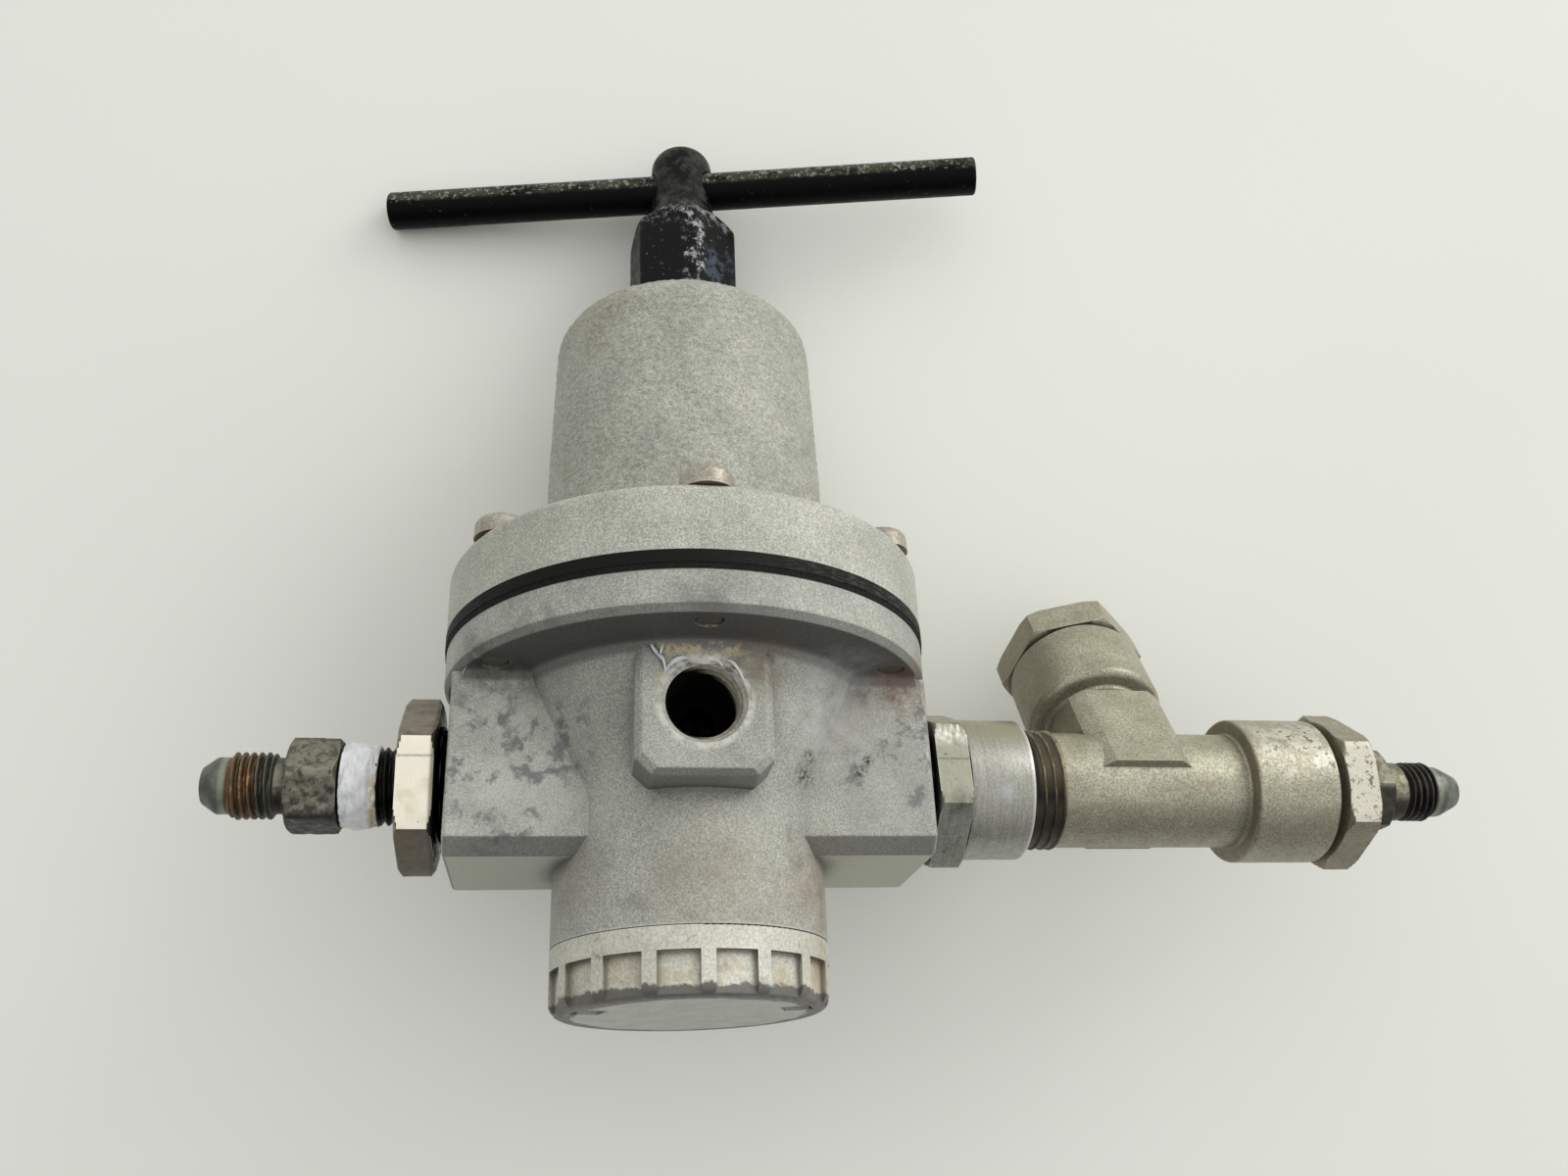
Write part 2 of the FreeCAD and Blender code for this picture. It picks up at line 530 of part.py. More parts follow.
def street_tee():
    """Tee with a male end in the adapter and two female ends, the branch leaning back."""
    run_end = TEE_COLLAR[1]
    male_start = OUTLET_COLLAR_END - 11.0
    run = turned([(0, male_start), (PIPE_THREAD_R - 0.6, male_start), (PIPE_THREAD_R, male_start + 1.0),
                  (PIPE_THREAD_R, TEE_THREAD_END), (TEE_BODY_R, TEE_THREAD_END),
                  (TEE_BODY_R, TEE_COLLAR[0], 0.6), (TEE_COLLAR_R, TEE_COLLAR[0], 0.6),
                  (TEE_COLLAR_R, run_end, 0.4), (0, run_end)], PORT, OUTLET)
    branch = turned([(0, 0), (TEE_BODY_R - 0.6, 0), (TEE_BODY_R - 0.6, BRANCH_COLLAR[0], 0.8),
                     (TEE_COLLAR_R, BRANCH_COLLAR[0] + 0.4, 1.6), (TEE_COLLAR_R, BRANCH_COLLAR[1], 0.4),
                     (0, BRANCH_COLLAR[1])], TEE, BRANCH)
    web = box((-TEE_WEB_HALF, TEE_WEB_HALF), (-TEE_WEB_THICK, TEE_WEB_THICK),
              (TEE_WEB_LOW, BRANCH_COLLAR[0] - 3.0))
    web = web.common(rod(TEE_WEB_R, -30, 30, V(0, 0, 0), UP))
    web.Placement = FreeCAD.Placement(TEE, FreeCAD.Rotation(UP, BRANCH))
    tee = run.fuse([branch, web])
    tee = tee.cut(rod(7.8, male_start - 1, run_end, PORT, OUTLET))
    tee = tee.cut(rod(7.8, 0, BRANCH_COLLAR[1], TEE, BRANCH))
    tee = tee.cut(rod(PIPE_THREAD_R, run_end - PIPE_THREAD_LEN, run_end + 1, PORT, OUTLET))
    return tee.cut(rod(PIPE_THREAD_R, BRANCH_COLLAR[1] - PIPE_THREAD_LEN, BRANCH_COLLAR[1] + 1, TEE, BRANCH))


def tee_branch_plug():
    """Hollow-backed hexagon plug in the tee's branch."""
    tail = BRANCH_COLLAR[1] - PIPE_THREAD_LEN + 2
    low, high = BRANCH_PLUG_HEX
    body = turned([(0, tail + 9), (7.4, tail + 9), (7.4, tail), (PIPE_THREAD_R - 0.7, tail),
                   (PIPE_THREAD_R, tail + 1), (PIPE_THREAD_R, low + 1), (0, low + 1)], TEE, BRANCH)
    turn = math.radians(BRANCH_PLUG_TURN)
    first = V(1, 0, 0) * math.cos(turn) + BRANCH.cross(V(1, 0, 0)) * math.sin(turn)
    return body.fuse(hexagon(LARGE_HEX_FLATS, low, high, TEE, BRANCH, first, 1.2))


def outlet_bushing():
    tail = TEE_COLLAR[1] - PIPE_THREAD_LEN + 1
    return pipe_bushing(OUTLET, tail, OUTLET_BUSHING_HEX, LARGE_HEX_FLATS, around_x(-8))


def outlet_flare_adapter():
    round_end = OUTLET_THREAD[0] - 1.0
    return flare_adapter(OUTLET, 110.0, OUTLET_HEX, OUTLET_THREAD, OUTLET_TIP, around_x(25), round_end)


def adjusting_screw():
    """Screw, hexagon shank and cross-drilled head, forged as one piece."""
    spindle = turned([(0, REST_DISC_TOP_Z + 0.5), (PIVOT_R - 0.4, REST_DISC_TOP_Z + 0.5),
                      (PIVOT_R, REST_DISC_TOP_Z + 0.9), (PIVOT_R, REST_TOP_Z + 0.3),
                      (SPINDLE_R - 0.6, REST_TOP_Z + 0.3), (SPINDLE_R, REST_TOP_Z + 0.9),
                      (SPINDLE_R, SHANK_LOW_Z + 1), (0, SHANK_LOW_Z + 1)])
    first = polar(1, SHANK_TURN, 0)
    shank = hexagon(SHANK_FLATS, SHANK_LOW_Z, SHANK_TOP_Z, V(0, 0, 0), UP, first)
    shank = eased(shank, SHANK_EDGE_R, lambda p: SHANK_LOW_Z + 1 < p.z < SHANK_TOP_Z - 1)
    circum = SHANK_FLATS / math.sqrt(3)
    trim = turned([(0, SHANK_LOW_Z), (circum - 1, SHANK_LOW_Z), (circum, SHANK_LOW_Z + 0.7),
                   (circum + 0.1, SHANK_TOP_Z - 4.3), (NECK_R + 0.9, SHANK_TOP_Z), (0, SHANK_TOP_Z)])
    head = turned([(0, SHANK_TOP_Z - 1), (NECK_R + 0.9, SHANK_TOP_Z - 1),
                   (NECK_R + 0.9, SHANK_TOP_Z + 0.8, 0.8), (NECK_R, SHANK_TOP_Z + 4.0, 4.0),
                   (NECK_R, HEAD_TOP_Z, 4.6), (0, HEAD_TOP_Z)])
    screw = spindle.fuse([shank.common(trim), head])
    return screw.cut(t_bar())


def t_bar():
    turn = math.radians(BAR_TURN)
    axis = V(math.cos(turn), math.sin(turn), 0)
    half = BAR_LEN / 2
    return turned([(0, -half), (BAR_R, -half, 0.6), (BAR_R, half, 0.6), (0, half)], V(0, 0, BAR_Z), axis)


def spring_rest():
    """Upper spring seat, pushed down by the screw's pivot."""
    seat = turned([(0, REST_DISC_LOW_Z), (9.5, REST_DISC_LOW_Z - 2.0), (10.6, REST_DISC_LOW_Z),
                   (REST_R, REST_DISC_LOW_Z), (REST_R, REST_DISC_TOP_Z, 0.8), (8.0, REST_DISC_TOP_Z),
                   (7.0, REST_TOP_Z), (0, REST_TOP_Z)])
    return seat.cut(rod(PIVOT_R + PIVOT_FIT, REST_DISC_TOP_Z, REST_TOP_Z + 1))


def range_spring():
    return coil(SPRING_R, SPRING_WIRE_R, BONNET_LOW_Z + PLATE_T, REST_DISC_LOW_Z, SPRING_TURNS)


def upper_diaphragm_plate():
    """Lower spring seat, clamped on top of the diaphragm."""
    low = BONNET_LOW_Z
    return turned([(HUB_R, low), (PLATE_R - 0.5, low), (PLATE_R, low + PLATE_T + 0.8, 0.6),
                   (PLATE_R - 2.0, low + PLATE_T + 0.8, 0.6), (PLATE_R - 2.2, low + PLATE_T, 0.4),
                   (HUB_R, low + PLATE_T)])


def lower_diaphragm_plate():
    """Backing plate with the hub that carries the relief seat."""
    top = FLANGE_TOP_Z + GASKET_T
    hub_top = BONNET_LOW_Z + PLATE_T + 5.0
    return turned([(RELIEF_R, HUB_LOW_Z), (4.0, HUB_LOW_Z), (HUB_R + 1.5, top - 2.0),
                   (PLATE_R - 0.5, top - 2.0, 0.5), (PLATE_R - 0.5, top), (HUB_R, top), (HUB_R, hub_top),
                   (RELIEF_R, hub_top)])


def diaphragm_nut():
    low = BONNET_LOW_Z + PLATE_T
    nut = hexagon(16.0, low, low + 4.0, V(0, 0, 0), UP, V(1, 0, 0), 0.6)
    return nut.cut(rod(HUB_R, low - 1, low + 5))


def valve_stem():
    low = POPPET_FLANGE_LOW_Z + 1.0
    tip = HUB_LOW_Z - VALVE_GAP
    return turned([(0, low), (STEM_R, low), (STEM_R, HUB_LOW_Z - 0.4), (RELIEF_R + 0.25, tip), (0, tip)])


def valve_poppet():
    """Cup that holds the rubber disc, with the shank that slides in the cap."""
    low = POPPET_FLANGE_LOW_Z
    disc_low = SEAT_LIP_Z - VALVE_GAP - 2.2
    poppet = turned([(0, 8.0), (POPPET_GUIDE_R, 8.0), (POPPET_GUIDE_R, low), (POPPET_R, low),
                     (POPPET_R, disc_low + 1.4), (POPPET_R - 1.0, disc_low + 1.4), (POPPET_R - 1.0, disc_low),
                     (0, disc_low)])
    groove = ring(POPPET_GUIDE_R - 1.0, POPPET_GUIDE_R + 0.1, 16.0, 17.8)
    return poppet.cut(rod(STEM_R, low + 1.0, disc_low + 1)).cut(groove)


def poppet_o_ring():
    return Part.makeTorus(POPPET_GUIDE_R - 0.5, 0.5, V(0, 0, 16.9))


def valve_disc():
    top = SEAT_LIP_Z - VALVE_GAP
    return ring(STEM_R, POPPET_R - 1.0, top - 2.2, top)


def valve_spring():
    return coil(VALVE_SPRING_R, VALVE_SPRING_WIRE_R, CAP_POCKET_Z, POPPET_FLANGE_LOW_Z, VALVE_SPRING_TURNS)


PIECES = (
    valve_body, valve_seat, seat_gasket, aspirator_tube, diaphragm_gasket, diaphragm, bonnet, bonnet_insert,
    bonnet_screws, bottom_cap, cap_disc, cap_o_ring, rear_gauge_plug, inlet_bushing, inlet_flare_adapter,
    inlet_tape, outlet_adapter, street_tee, tee_branch_plug, outlet_bushing, outlet_flare_adapter,
    adjusting_screw, t_bar, spring_rest, range_spring, upper_diaphragm_plate, lower_diaphragm_plate,
    diaphragm_nut, valve_stem, valve_poppet, poppet_o_ring, valve_disc, valve_spring,
)

os.makedirs("parts", exist_ok=True)
for piece in PIECES:
    shape = piece()
    name = piece.__name__
    size = shape.BoundBox
    print(f"{name}: {len(shape.Solids)} solid, valid {shape.isValid()}, {shape.Volume:.1f} mm3, "
          f"z {size.ZMin:.2f} to {size.ZMax:.2f}")
    shape.exportStep(os.path.join("parts", name + ".step"))
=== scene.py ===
import json
import math

import bmesh
import bpy
from mathutils import Matrix, Vector, noise

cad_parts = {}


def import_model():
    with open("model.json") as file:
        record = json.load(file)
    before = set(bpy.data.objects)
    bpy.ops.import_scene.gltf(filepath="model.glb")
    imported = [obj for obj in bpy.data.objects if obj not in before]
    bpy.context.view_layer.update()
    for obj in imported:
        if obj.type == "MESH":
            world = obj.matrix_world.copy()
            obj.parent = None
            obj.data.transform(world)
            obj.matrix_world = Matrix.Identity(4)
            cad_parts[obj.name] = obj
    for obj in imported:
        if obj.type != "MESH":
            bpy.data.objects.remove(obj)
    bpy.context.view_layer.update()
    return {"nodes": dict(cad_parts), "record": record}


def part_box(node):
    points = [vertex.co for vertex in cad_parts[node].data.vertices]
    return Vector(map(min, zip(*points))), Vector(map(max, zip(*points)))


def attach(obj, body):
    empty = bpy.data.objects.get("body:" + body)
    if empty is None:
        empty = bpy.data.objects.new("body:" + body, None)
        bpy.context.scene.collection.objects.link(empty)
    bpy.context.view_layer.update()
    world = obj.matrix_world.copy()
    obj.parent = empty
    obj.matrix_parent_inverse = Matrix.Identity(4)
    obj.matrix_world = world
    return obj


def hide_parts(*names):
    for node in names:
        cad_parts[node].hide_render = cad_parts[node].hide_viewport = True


# Air pressure regulator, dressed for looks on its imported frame. Metres, in the frame's own axes:
# +Z up to the T-handle, +X to the outlet fittings, -Y out of the gauge port.

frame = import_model()
nodes = frame["nodes"]

MM = 0.001


def span(node, axis):
    """Lowest and highest coordinate of a CAD node along one axis (0, 1 or 2)."""
    low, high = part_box(node)
    return low[axis], high[axis]


def centre(node):
    low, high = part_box(node)
    return (low + high) / 2


PORT = Vector((0, 0, centre("outlet_adapter").z))
GAUGE = Vector((0, 0, centre("rear_gauge_plug").z))
INLET = Vector((-1, 0, 0))
OUTLET = Vector((1, 0, 0))
FRONT = Vector((0, -1, 0))
UP = Vector((0, 0, 1))
GAUGE_FACE = 30.0 * MM
# Which coordinates count in a distance from an axis that runs along X, Y or Z.
ROUND_X = (0, 1, 1)
ROUND_Y = (1, 0, 1)
ROUND_Z = (1, 1, 0)
SEED = Vector((3.1, 7.7, 1.3))


# --- materials ----------------------------------------------------------------------------
def rgb(red, green, blue):
    """Linear colour from 8-bit display values."""
    def linear(value):
        value /= 255
        return value / 12.92 if value <= 0.04045 else ((value + 0.055) / 1.055) ** 2.4
    return (linear(red), linear(green), linear(blue), 1.0)


def add_node(tree, kind, inputs=None, **settings):
    """A shader node with its inputs set to values or wired to sockets."""
    made = tree.nodes.new(kind)
    for key, value in settings.items():
        setattr(made, key, value)
    for key, value in (inputs or {}).items():
        if isinstance(value, bpy.types.NodeSocket):
            tree.links.new(value, made.inputs[key])
        else:
            made.inputs[key].default_value = value
    return made


class Finish:
    """A material with one Principled shader, fed by patterns in the object's own space.

    Lengths are in mm, heights are counted from the port's axis, and tints are 8-bit display values."""

    def __init__(self, name, base, metallic, roughness=0.5, **plain):
        self.material = bpy.data.materials.new(name)
        self.material.use_nodes = True
        self.tree = self.material.node_tree
        self.shader = self.tree.nodes["Principled BSDF"]
        self.shader.inputs["Metallic"].default_value = metallic
        self.shader.inputs["Roughness"].default_value = roughness
        for socket, value in plain.items():
            self.shader.inputs[socket.replace("_", " ")].default_value = value
        self.place = self.node("ShaderNodeTexCoord").outputs["Object"]
        self.tint = rgb(*base)
        self.height = None

    def node(self, kind, inputs=None, **settings):
        return add_node(self.tree, kind, inputs, **settings)

    def math(self, operation, a, b=0.0):
        return self.node("ShaderNodeMath", {0: a, 1: b}, operation=operation).outputs[0]

    def vector(self, operation, a, b):
        """The node itself: its outputs are a vector and a value."""
        return self.node("ShaderNodeVectorMath", {0: a, 1: b}, operation=operation)

    def stretched(self, factors):
        return self.vector("MULTIPLY", self.place, factors).outputs[0]

    def noise(self, size, detail=2.0, rough=0.55, stretch=None, shift=0.0):
        """Noise from 0 to 1 whose blotches are about this size across."""
        place = self.stretched(stretch) if stretch else self.place
        place = self.vector("ADD", place, (shift, shift, shift)).outputs[0]
        return self.node("ShaderNodeTexNoise", {"Vector": place, "Scale": 1 / (size * MM), "Detail": detail,
                                                "Roughness": rough}).outputs["Fac"]

    def patches(self, size, low, high, detail=2.0, rough=0.55, shift=0.0):
        """0 where the noise is under low and 1 where it is over high."""
        return self.ramp(self.noise(size, detail, rough, shift=shift), low, high)

    def mottled(self, size, least, most, detail=3.0):
        """Noise spread from least to most."""
        return self.ramp(self.noise(size, detail), 0.3, 0.7, least, most)

    def clouds(self, size, darkest, lightest, detail=4.0):
        """Soft lighter and darker areas."""
        self.shade(self.noise(size, detail), 0.3, 0.7, darkest, lightest)

    def grit(self, size, darkest, lightest, shift=0.0):
        """Salt-and-pepper grain."""
        self.shade(self.noise(size, 2.0, 0.7, shift=shift), 0.36, 0.64, darkest, lightest)

    def specks(self, size, share, shift=0.0):
        """Few ragged spots; a larger share gives more of them."""
        return self.ramp(self.noise(size, 4.0, 0.75, shift=shift), 0.76 - share, 0.79 - share)

    def ramp(self, value, low, high, bottom=0.0, top=1.0):
        """Value stretched from low..high to bottom..top, held at both ends."""
        return self.node("ShaderNodeMapRange", {"Value": value, "From Min": low, "From Max": high,
                                                "To Min": bottom, "To Max": top},
                         interpolation_type="SMOOTHSTEP").outputs[0]

    def along(self, axis):
        """Coordinate along X, Y or Z, in metres."""
        return self.node("ShaderNodeSeparateXYZ", {0: self.place}).outputs[axis]

    def past(self, axis, low, high):
        """0 to 1 from one coordinate along an axis to another."""
        return self.ramp(self.along(axis), PORT[axis] + low * MM, PORT[axis] + high * MM)

    def ring(self, base, keep, low, high):
        """0 to 1 from one distance from a point to another, along the axes whose keep is 1."""
        spot = Vector([a * b for a, b in zip(base, keep)])
        away = self.vector("DISTANCE", self.stretched(keep), spot).outputs["Value"]
        return self.ramp(away, low * MM, high * MM)

    def near(self, point, reach, patchy, only=(1, 1, 1)):
        """1 close to a point, fading out at reach, in blotches; only picks the axes that count."""
        fading = self.ring(PORT + Vector(point) * MM, only, reach, 0.0)
        return self.both(fading, self.patches(reach * 0.3, 0.5 - patchy / 2, 0.5 + patchy / 2, 6.0, 0.7))

    def matt(self, amount):
        """Take the sheen off where a mask is 1."""
        sheen = self.both(self.math("SUBTRACT", 1.0, amount), 0.5)
        self.tree.links.new(sheen, self.shader.inputs["Specular IOR Level"])

    def toward(self, axis, low, high):
        """0 to 1 as the surface's own normal turns from low to high along an axis."""
        normal = self.node("ShaderNodeNewGeometry").outputs["Normal"]
        return self.ramp(self.node("ShaderNodeSeparateXYZ", {0: normal}).outputs[axis], low, high)

    def edges(self, radius):
        """1 on edges and corners, 0 on flats."""
        worn = self.node("ShaderNodeBevel", {"Radius": radius * MM}, samples=4).outputs[0]
        flat = self.node("ShaderNodeNewGeometry").outputs["Normal"]
        same = self.vector("DOT_PRODUCT", worn, flat).outputs["Value"]
        return self.ramp(self.math("SUBTRACT", 1.0, same), 0.02, 0.3)

    def shade_in_corners(self, reach, low=0.45, high=0.95):
        """1 deep in corners, where ambient light is blocked, and 0 in the open; what it paints is shade."""
        around = self.node("ShaderNodeAmbientOcclusion", {"Distance": reach * MM}, samples=6)
        return self.ramp(around.outputs["AO"], high, low)

    def both(self, a, b):
        return self.math("MULTIPLY", a, b)

    def over(self, amount, tint, strength=1.0):
        """Lay a tint over what is there, by an amount from 0 to 1."""
        if strength != 1.0:
            amount = self.both(amount, strength)
        mixed = self.node("ShaderNodeMix", {0: amount, 6: self.tint, 7: rgb(*tint)}, data_type="RGBA")
        self.tint = mixed.outputs[2]

    def stains(self, *rows):
        """Blotchy stains, each as its place, reach and patchiness for near(), its tint and its strength."""
        for place, reach, patchy, tint, strength in rows:
            self.over(self.near(place, reach, patchy), tint, strength)

    def shade(self, value, low, high, darkest, lightest):
        """Darken or lighten by a pattern."""
        grey = self.ramp(value, low, high, darkest, lightest)
        self.tint = self.node("ShaderNodeMix", {0: 1.0, 6: self.tint, 7: grey}, data_type="RGBA",
                              blend_type="MULTIPLY").outputs[2]

    def raise_by(self, value, height):
        """Add a pattern to the surface's height."""
        step = self.both(value, height * MM)
        self.height = step if self.height is None else self.math("ADD", self.height, step)

    def done(self, roughness=None):
        """Wire the colour, roughness and height to the shader."""
        links = self.tree.links
        links.new(self.tint, self.shader.inputs["Base Color"])
        if roughness is not None:
            links.new(roughness, self.shader.inputs["Roughness"])
        if self.height is not None:
            bump = self.node("ShaderNodeBump", {"Height": self.height, "Distance": 1.0})
            links.new(bump.outputs[0], self.shader.inputs["Normal"])
        return self.material


def cast_grain(f):
    """Sand-cast aluminium: salt-and-pepper grain, soft clouds and a fine rough skin."""
    f.clouds(9, 0.88, 1.08)
    f.grit(0.3, 0.7, 1.22)
    f.grit(0.6, 0.9, 1.07, shift=5.0)
    f.raise_by(f.noise(0.5, 3.0, 0.7), 0.08)
    f.raise_by(f.noise(2.4, 3.0), 0.05)


def painted_underside_shade(f, tint, amount):
    """Painted shade: darker on faces that look down."""
    f.over(f.toward(2, -0.35, -0.6), tint, amount)


def cast_body():
    """Cast body: patches and rust on the blocks, old sealant round the gauge port, painted shade black deep
    in its bore.
    """
    f = Finish("cast_body", (178, 179, 170), metallic=0.12)
    cast_grain(f)
    blocks = f.math("MAXIMUM", f.near((-31, -15, -2), 24, 0.3), f.near((35, -15, 3), 21, 0.3))
    patches = f.patches(3.2, 0.49, 0.6, 5.0, 0.62, shift=2.0)
    f.stains(((-31, -15, 0), 28, 0.3, (216, 217, 209), 0.45), ((35, -15, 0), 26, 0.3, (148, 149, 140), 0.45))
    f.over(f.both(patches, f.ramp(blocks, 0.1, 0.5)), (112, 115, 116), 0.85)
    f.over(f.both(patches, f.patches(12, 0.56, 0.68, 2.0, shift=9.0)), (126, 127, 122), 0.45)
    # painted highlight along edges and corners
    f.over(f.edges(0.9), (222, 223, 218), 0.75)
    # painted shade on faces that look down
    painted_underside_shade(f, (94, 94, 93), 0.65)
    # painted shadow: dark band under the flange
    flange_shadow = f.both(f.toward(2, -0.8, -0.97), f.past(2, 12, 15))
    f.over(flange_shadow, (64, 63, 62), 0.8)
    # painted shadow in the corner between the left block's top and the flange
    f.stains(((-34, -19, 14.6), 11, 0.4, (44, 43, 38), 0.95))
    # painted bounce light: lighter on the blocks' bottom faces
    bounce_lit_floor = f.both(f.past(2, -14.4, -14.95), f.toward(2, -0.85, -0.97))
    f.over(f.both(bounce_lit_floor, f.past(2, -23.2, -16.2)), (188, 190, 176), 0.9)
    # painted shade in corners
    f.over(f.shade_in_corners(4), (66, 65, 60), 0.75)
    f.stains(((35, -15.5, 14), 10, 0.4, (124, 84, 64), 0.9),
             ((24, -13, 7), 9, 0.8, (142, 122, 100), 0.5),
             ((19.5, -12, -21.7), 14, 0.5, (134, 106, 74), 0.8),
             ((2, -23, -21.7), 17, 0.7, (140, 128, 106), 0.75),
             ((-19, -13, -19.7), 8, 0.7, (142, 118, 100), 0.4),
             ((3, -40, 15), 16, 0.6, (88, 88, 88), 0.75),
             # painted light on the funnel's right side
             ((23, -20, 8), 15, 0.5, (216, 218, 218), 0.7))
    on_face = f.both(f.past(1, -27.5, -29.5), f.toward(1, -0.5, -0.85))
    above_port = f.both(f.ramp(f.near((1, -30, 12.3), 15, 0.2), 0.1, 0.45), on_face)
    sealant = f.both(f.patches(1.6, 0.46, 0.58, 5.0, 0.75, shift=3.0), above_port)
    f.over(sealant, (194, 181, 144), 0.95)
    f.over(f.both(f.specks(1.0, 0.14, 4.0), above_port), (58, 48, 36), 0.9)
    f.stains(((9.5, -30, 11.3), 8, 0.4, (128, 106, 76), 0.85))
    rim = f.both(f.ring(GAUGE, ROUND_Y, 8.3, 7.4), on_face)
    f.over(f.both(rim, f.patches(1.1, 0.35, 0.6, 3.0, shift=8.0)), (214, 213, 204), 0.9)
    f.over(f.specks(2.0, 0.0, 6.0), (52, 49, 46), 0.85)
    for x, z, reach in ((17.5, -2.5, 2.72), (18.6, 0.2, 1.87), (10.7, 13.2, 1.36), (27.5, -1.5, 2.21),
                        (29, 0.5, 1.7)):
        f.over(f.near((x, 0, z), reach, 0.15, only=(1, 0, 1)), (30, 28, 26))
    # painted shade: near-black, without sheen, deep in the gauge bore
    deep = f.both(f.ring(GAUGE, ROUND_Y, 7.1, 6.8), f.past(1, -27.6, -23.5))
    f.over(deep, (4, 4, 3), 0.99)
    f.matt(deep)
    return f.done(f.mottled(0.6, 0.45, 0.64))


def cast_bonnet():
    f = Finish("cast_bonnet", (178, 179, 168), metallic=0.12)
    cast_grain(f)
    f.over(f.patches(6, 0.58, 0.72, 5.0, shift=3.0), (150, 146, 130), 0.35)
    f.stains(((-17, -16, 89), 13, 0.6, (158, 140, 112), 0.4))
    f.over(f.specks(1.6, 0.02, 5.0), (66, 63, 58), 0.75)
    tower = f.past(2, 38.5, 42)
    wrinkles = f.noise(0.75, 4.0, 0.65, stretch=(0.65, 0.65, 1.0), shift=1.0)
    f.shade(f.along(2), PORT.z + 40 * MM, PORT.z + 37 * MM, 1.0, 1.14)
    # painted shade in the wrinkles' valleys and painted highlight on their crests
    f.over(f.both(f.ramp(wrinkles, 0.5, 0.34), tower), (128, 127, 116), 0.45)
    f.over(f.both(f.ramp(wrinkles, 0.54, 0.64), tower), (206, 206, 194), 0.35)
    f.raise_by(f.both(wrinkles, tower), 0.25)
    foot = f.both(f.ring(PORT, ROUND_Z, 29.5, 26.5), f.past(2, 41, 37.4))
    f.over(f.both(foot, f.specks(0.9, 0.22, 2.0)), (58, 56, 52), 0.8)
    # painted shade in corners
    f.over(f.shade_in_corners(3), (86, 83, 76), 0.5)
    f.over(f.edges(0.8), (206, 206, 198), 0.35)
    return f.done(f.mottled(0.9, 0.4, 0.6))


def cap_metal():
    """Cream-painted cast cap, its lower edge worn and bruised to bare dark metal, with painted shade in the
    notches and round the disc and painted highlight on its edges.
    """
    f = Finish("cap_metal", (212, 211, 199), metallic=0.2)
    f.clouds(6, 0.9, 1.05)
    f.grit(0.45, 0.84, 1.12)
    floors = f.ring(PORT, ROUND_Z, 22.75, 22.3)
    f.over(f.both(floors, f.patches(3.5, 0.45, 0.62, 4.0, 0.7, shift=2.0)), (190, 172, 138), 0.55)
    # painted shade in the notches and corners
    f.over(f.shade_in_corners(2.0, 0.45, 0.92), (66, 60, 50), 0.85)
    f.over(f.toward(2, -0.5, -0.9), (70, 66, 58), 0.75)
    # painted highlight along edges
    f.over(f.edges(0.45), (232, 230, 219), 0.6)
    f.over(f.patches(2.0, 0.6, 0.68, 5.0, 0.75, shift=5.0), (142, 136, 120), 0.7)
    f.stains(((20, -10, -31.2), 9, 0.5, (150, 120, 84), 0.6))
    edge = f.math("ADD", f.along(2), f.both(f.noise(3.2, 5.0, 0.7), 3.2 * MM))
    f.over(f.ramp(edge, 3.7 * MM, 3.2 * MM), (98, 96, 94), 0.92)
    f.stains(((3.5, -22.5, -34), 2.2, 0.4, (120, 119, 118), 0.9))
    # painted shade: near-black in the recess round the disc
    inside = f.both(f.ring(PORT, ROUND_Z, 20.9, 20.5), f.past(2, -38.05, -37.7))
    f.over(inside, (10, 9, 9), 0.97)
    f.raise_by(f.noise(0.8, 4.0, 0.7), 0.07)
    return f.done(f.mottled(1.2, 0.36, 0.58))


def cap_disc():
    f = Finish("cap_disc", (194, 195, 188), metallic=0.25)
    f.clouds(5, 0.88, 1.05, 5.0)
    f.grit(0.5, 0.9, 1.08)
    f.over(f.specks(1.4, 0.05, 3.0), (104, 102, 96), 0.7)
    # painted shade in blotches at the disc's outer edge, by the gap
    rim = f.ring(PORT, ROUND_Z, 18.4, 19.2)
    f.over(f.both(rim, f.patches(5, 0.42, 0.55, 4.0, 0.7, shift=7.0)), (64, 63, 60), 0.8)
    f.raise_by(f.noise(0.7, 3.0), 0.04)
    return f.done(f.mottled(2, 0.45, 0.62))


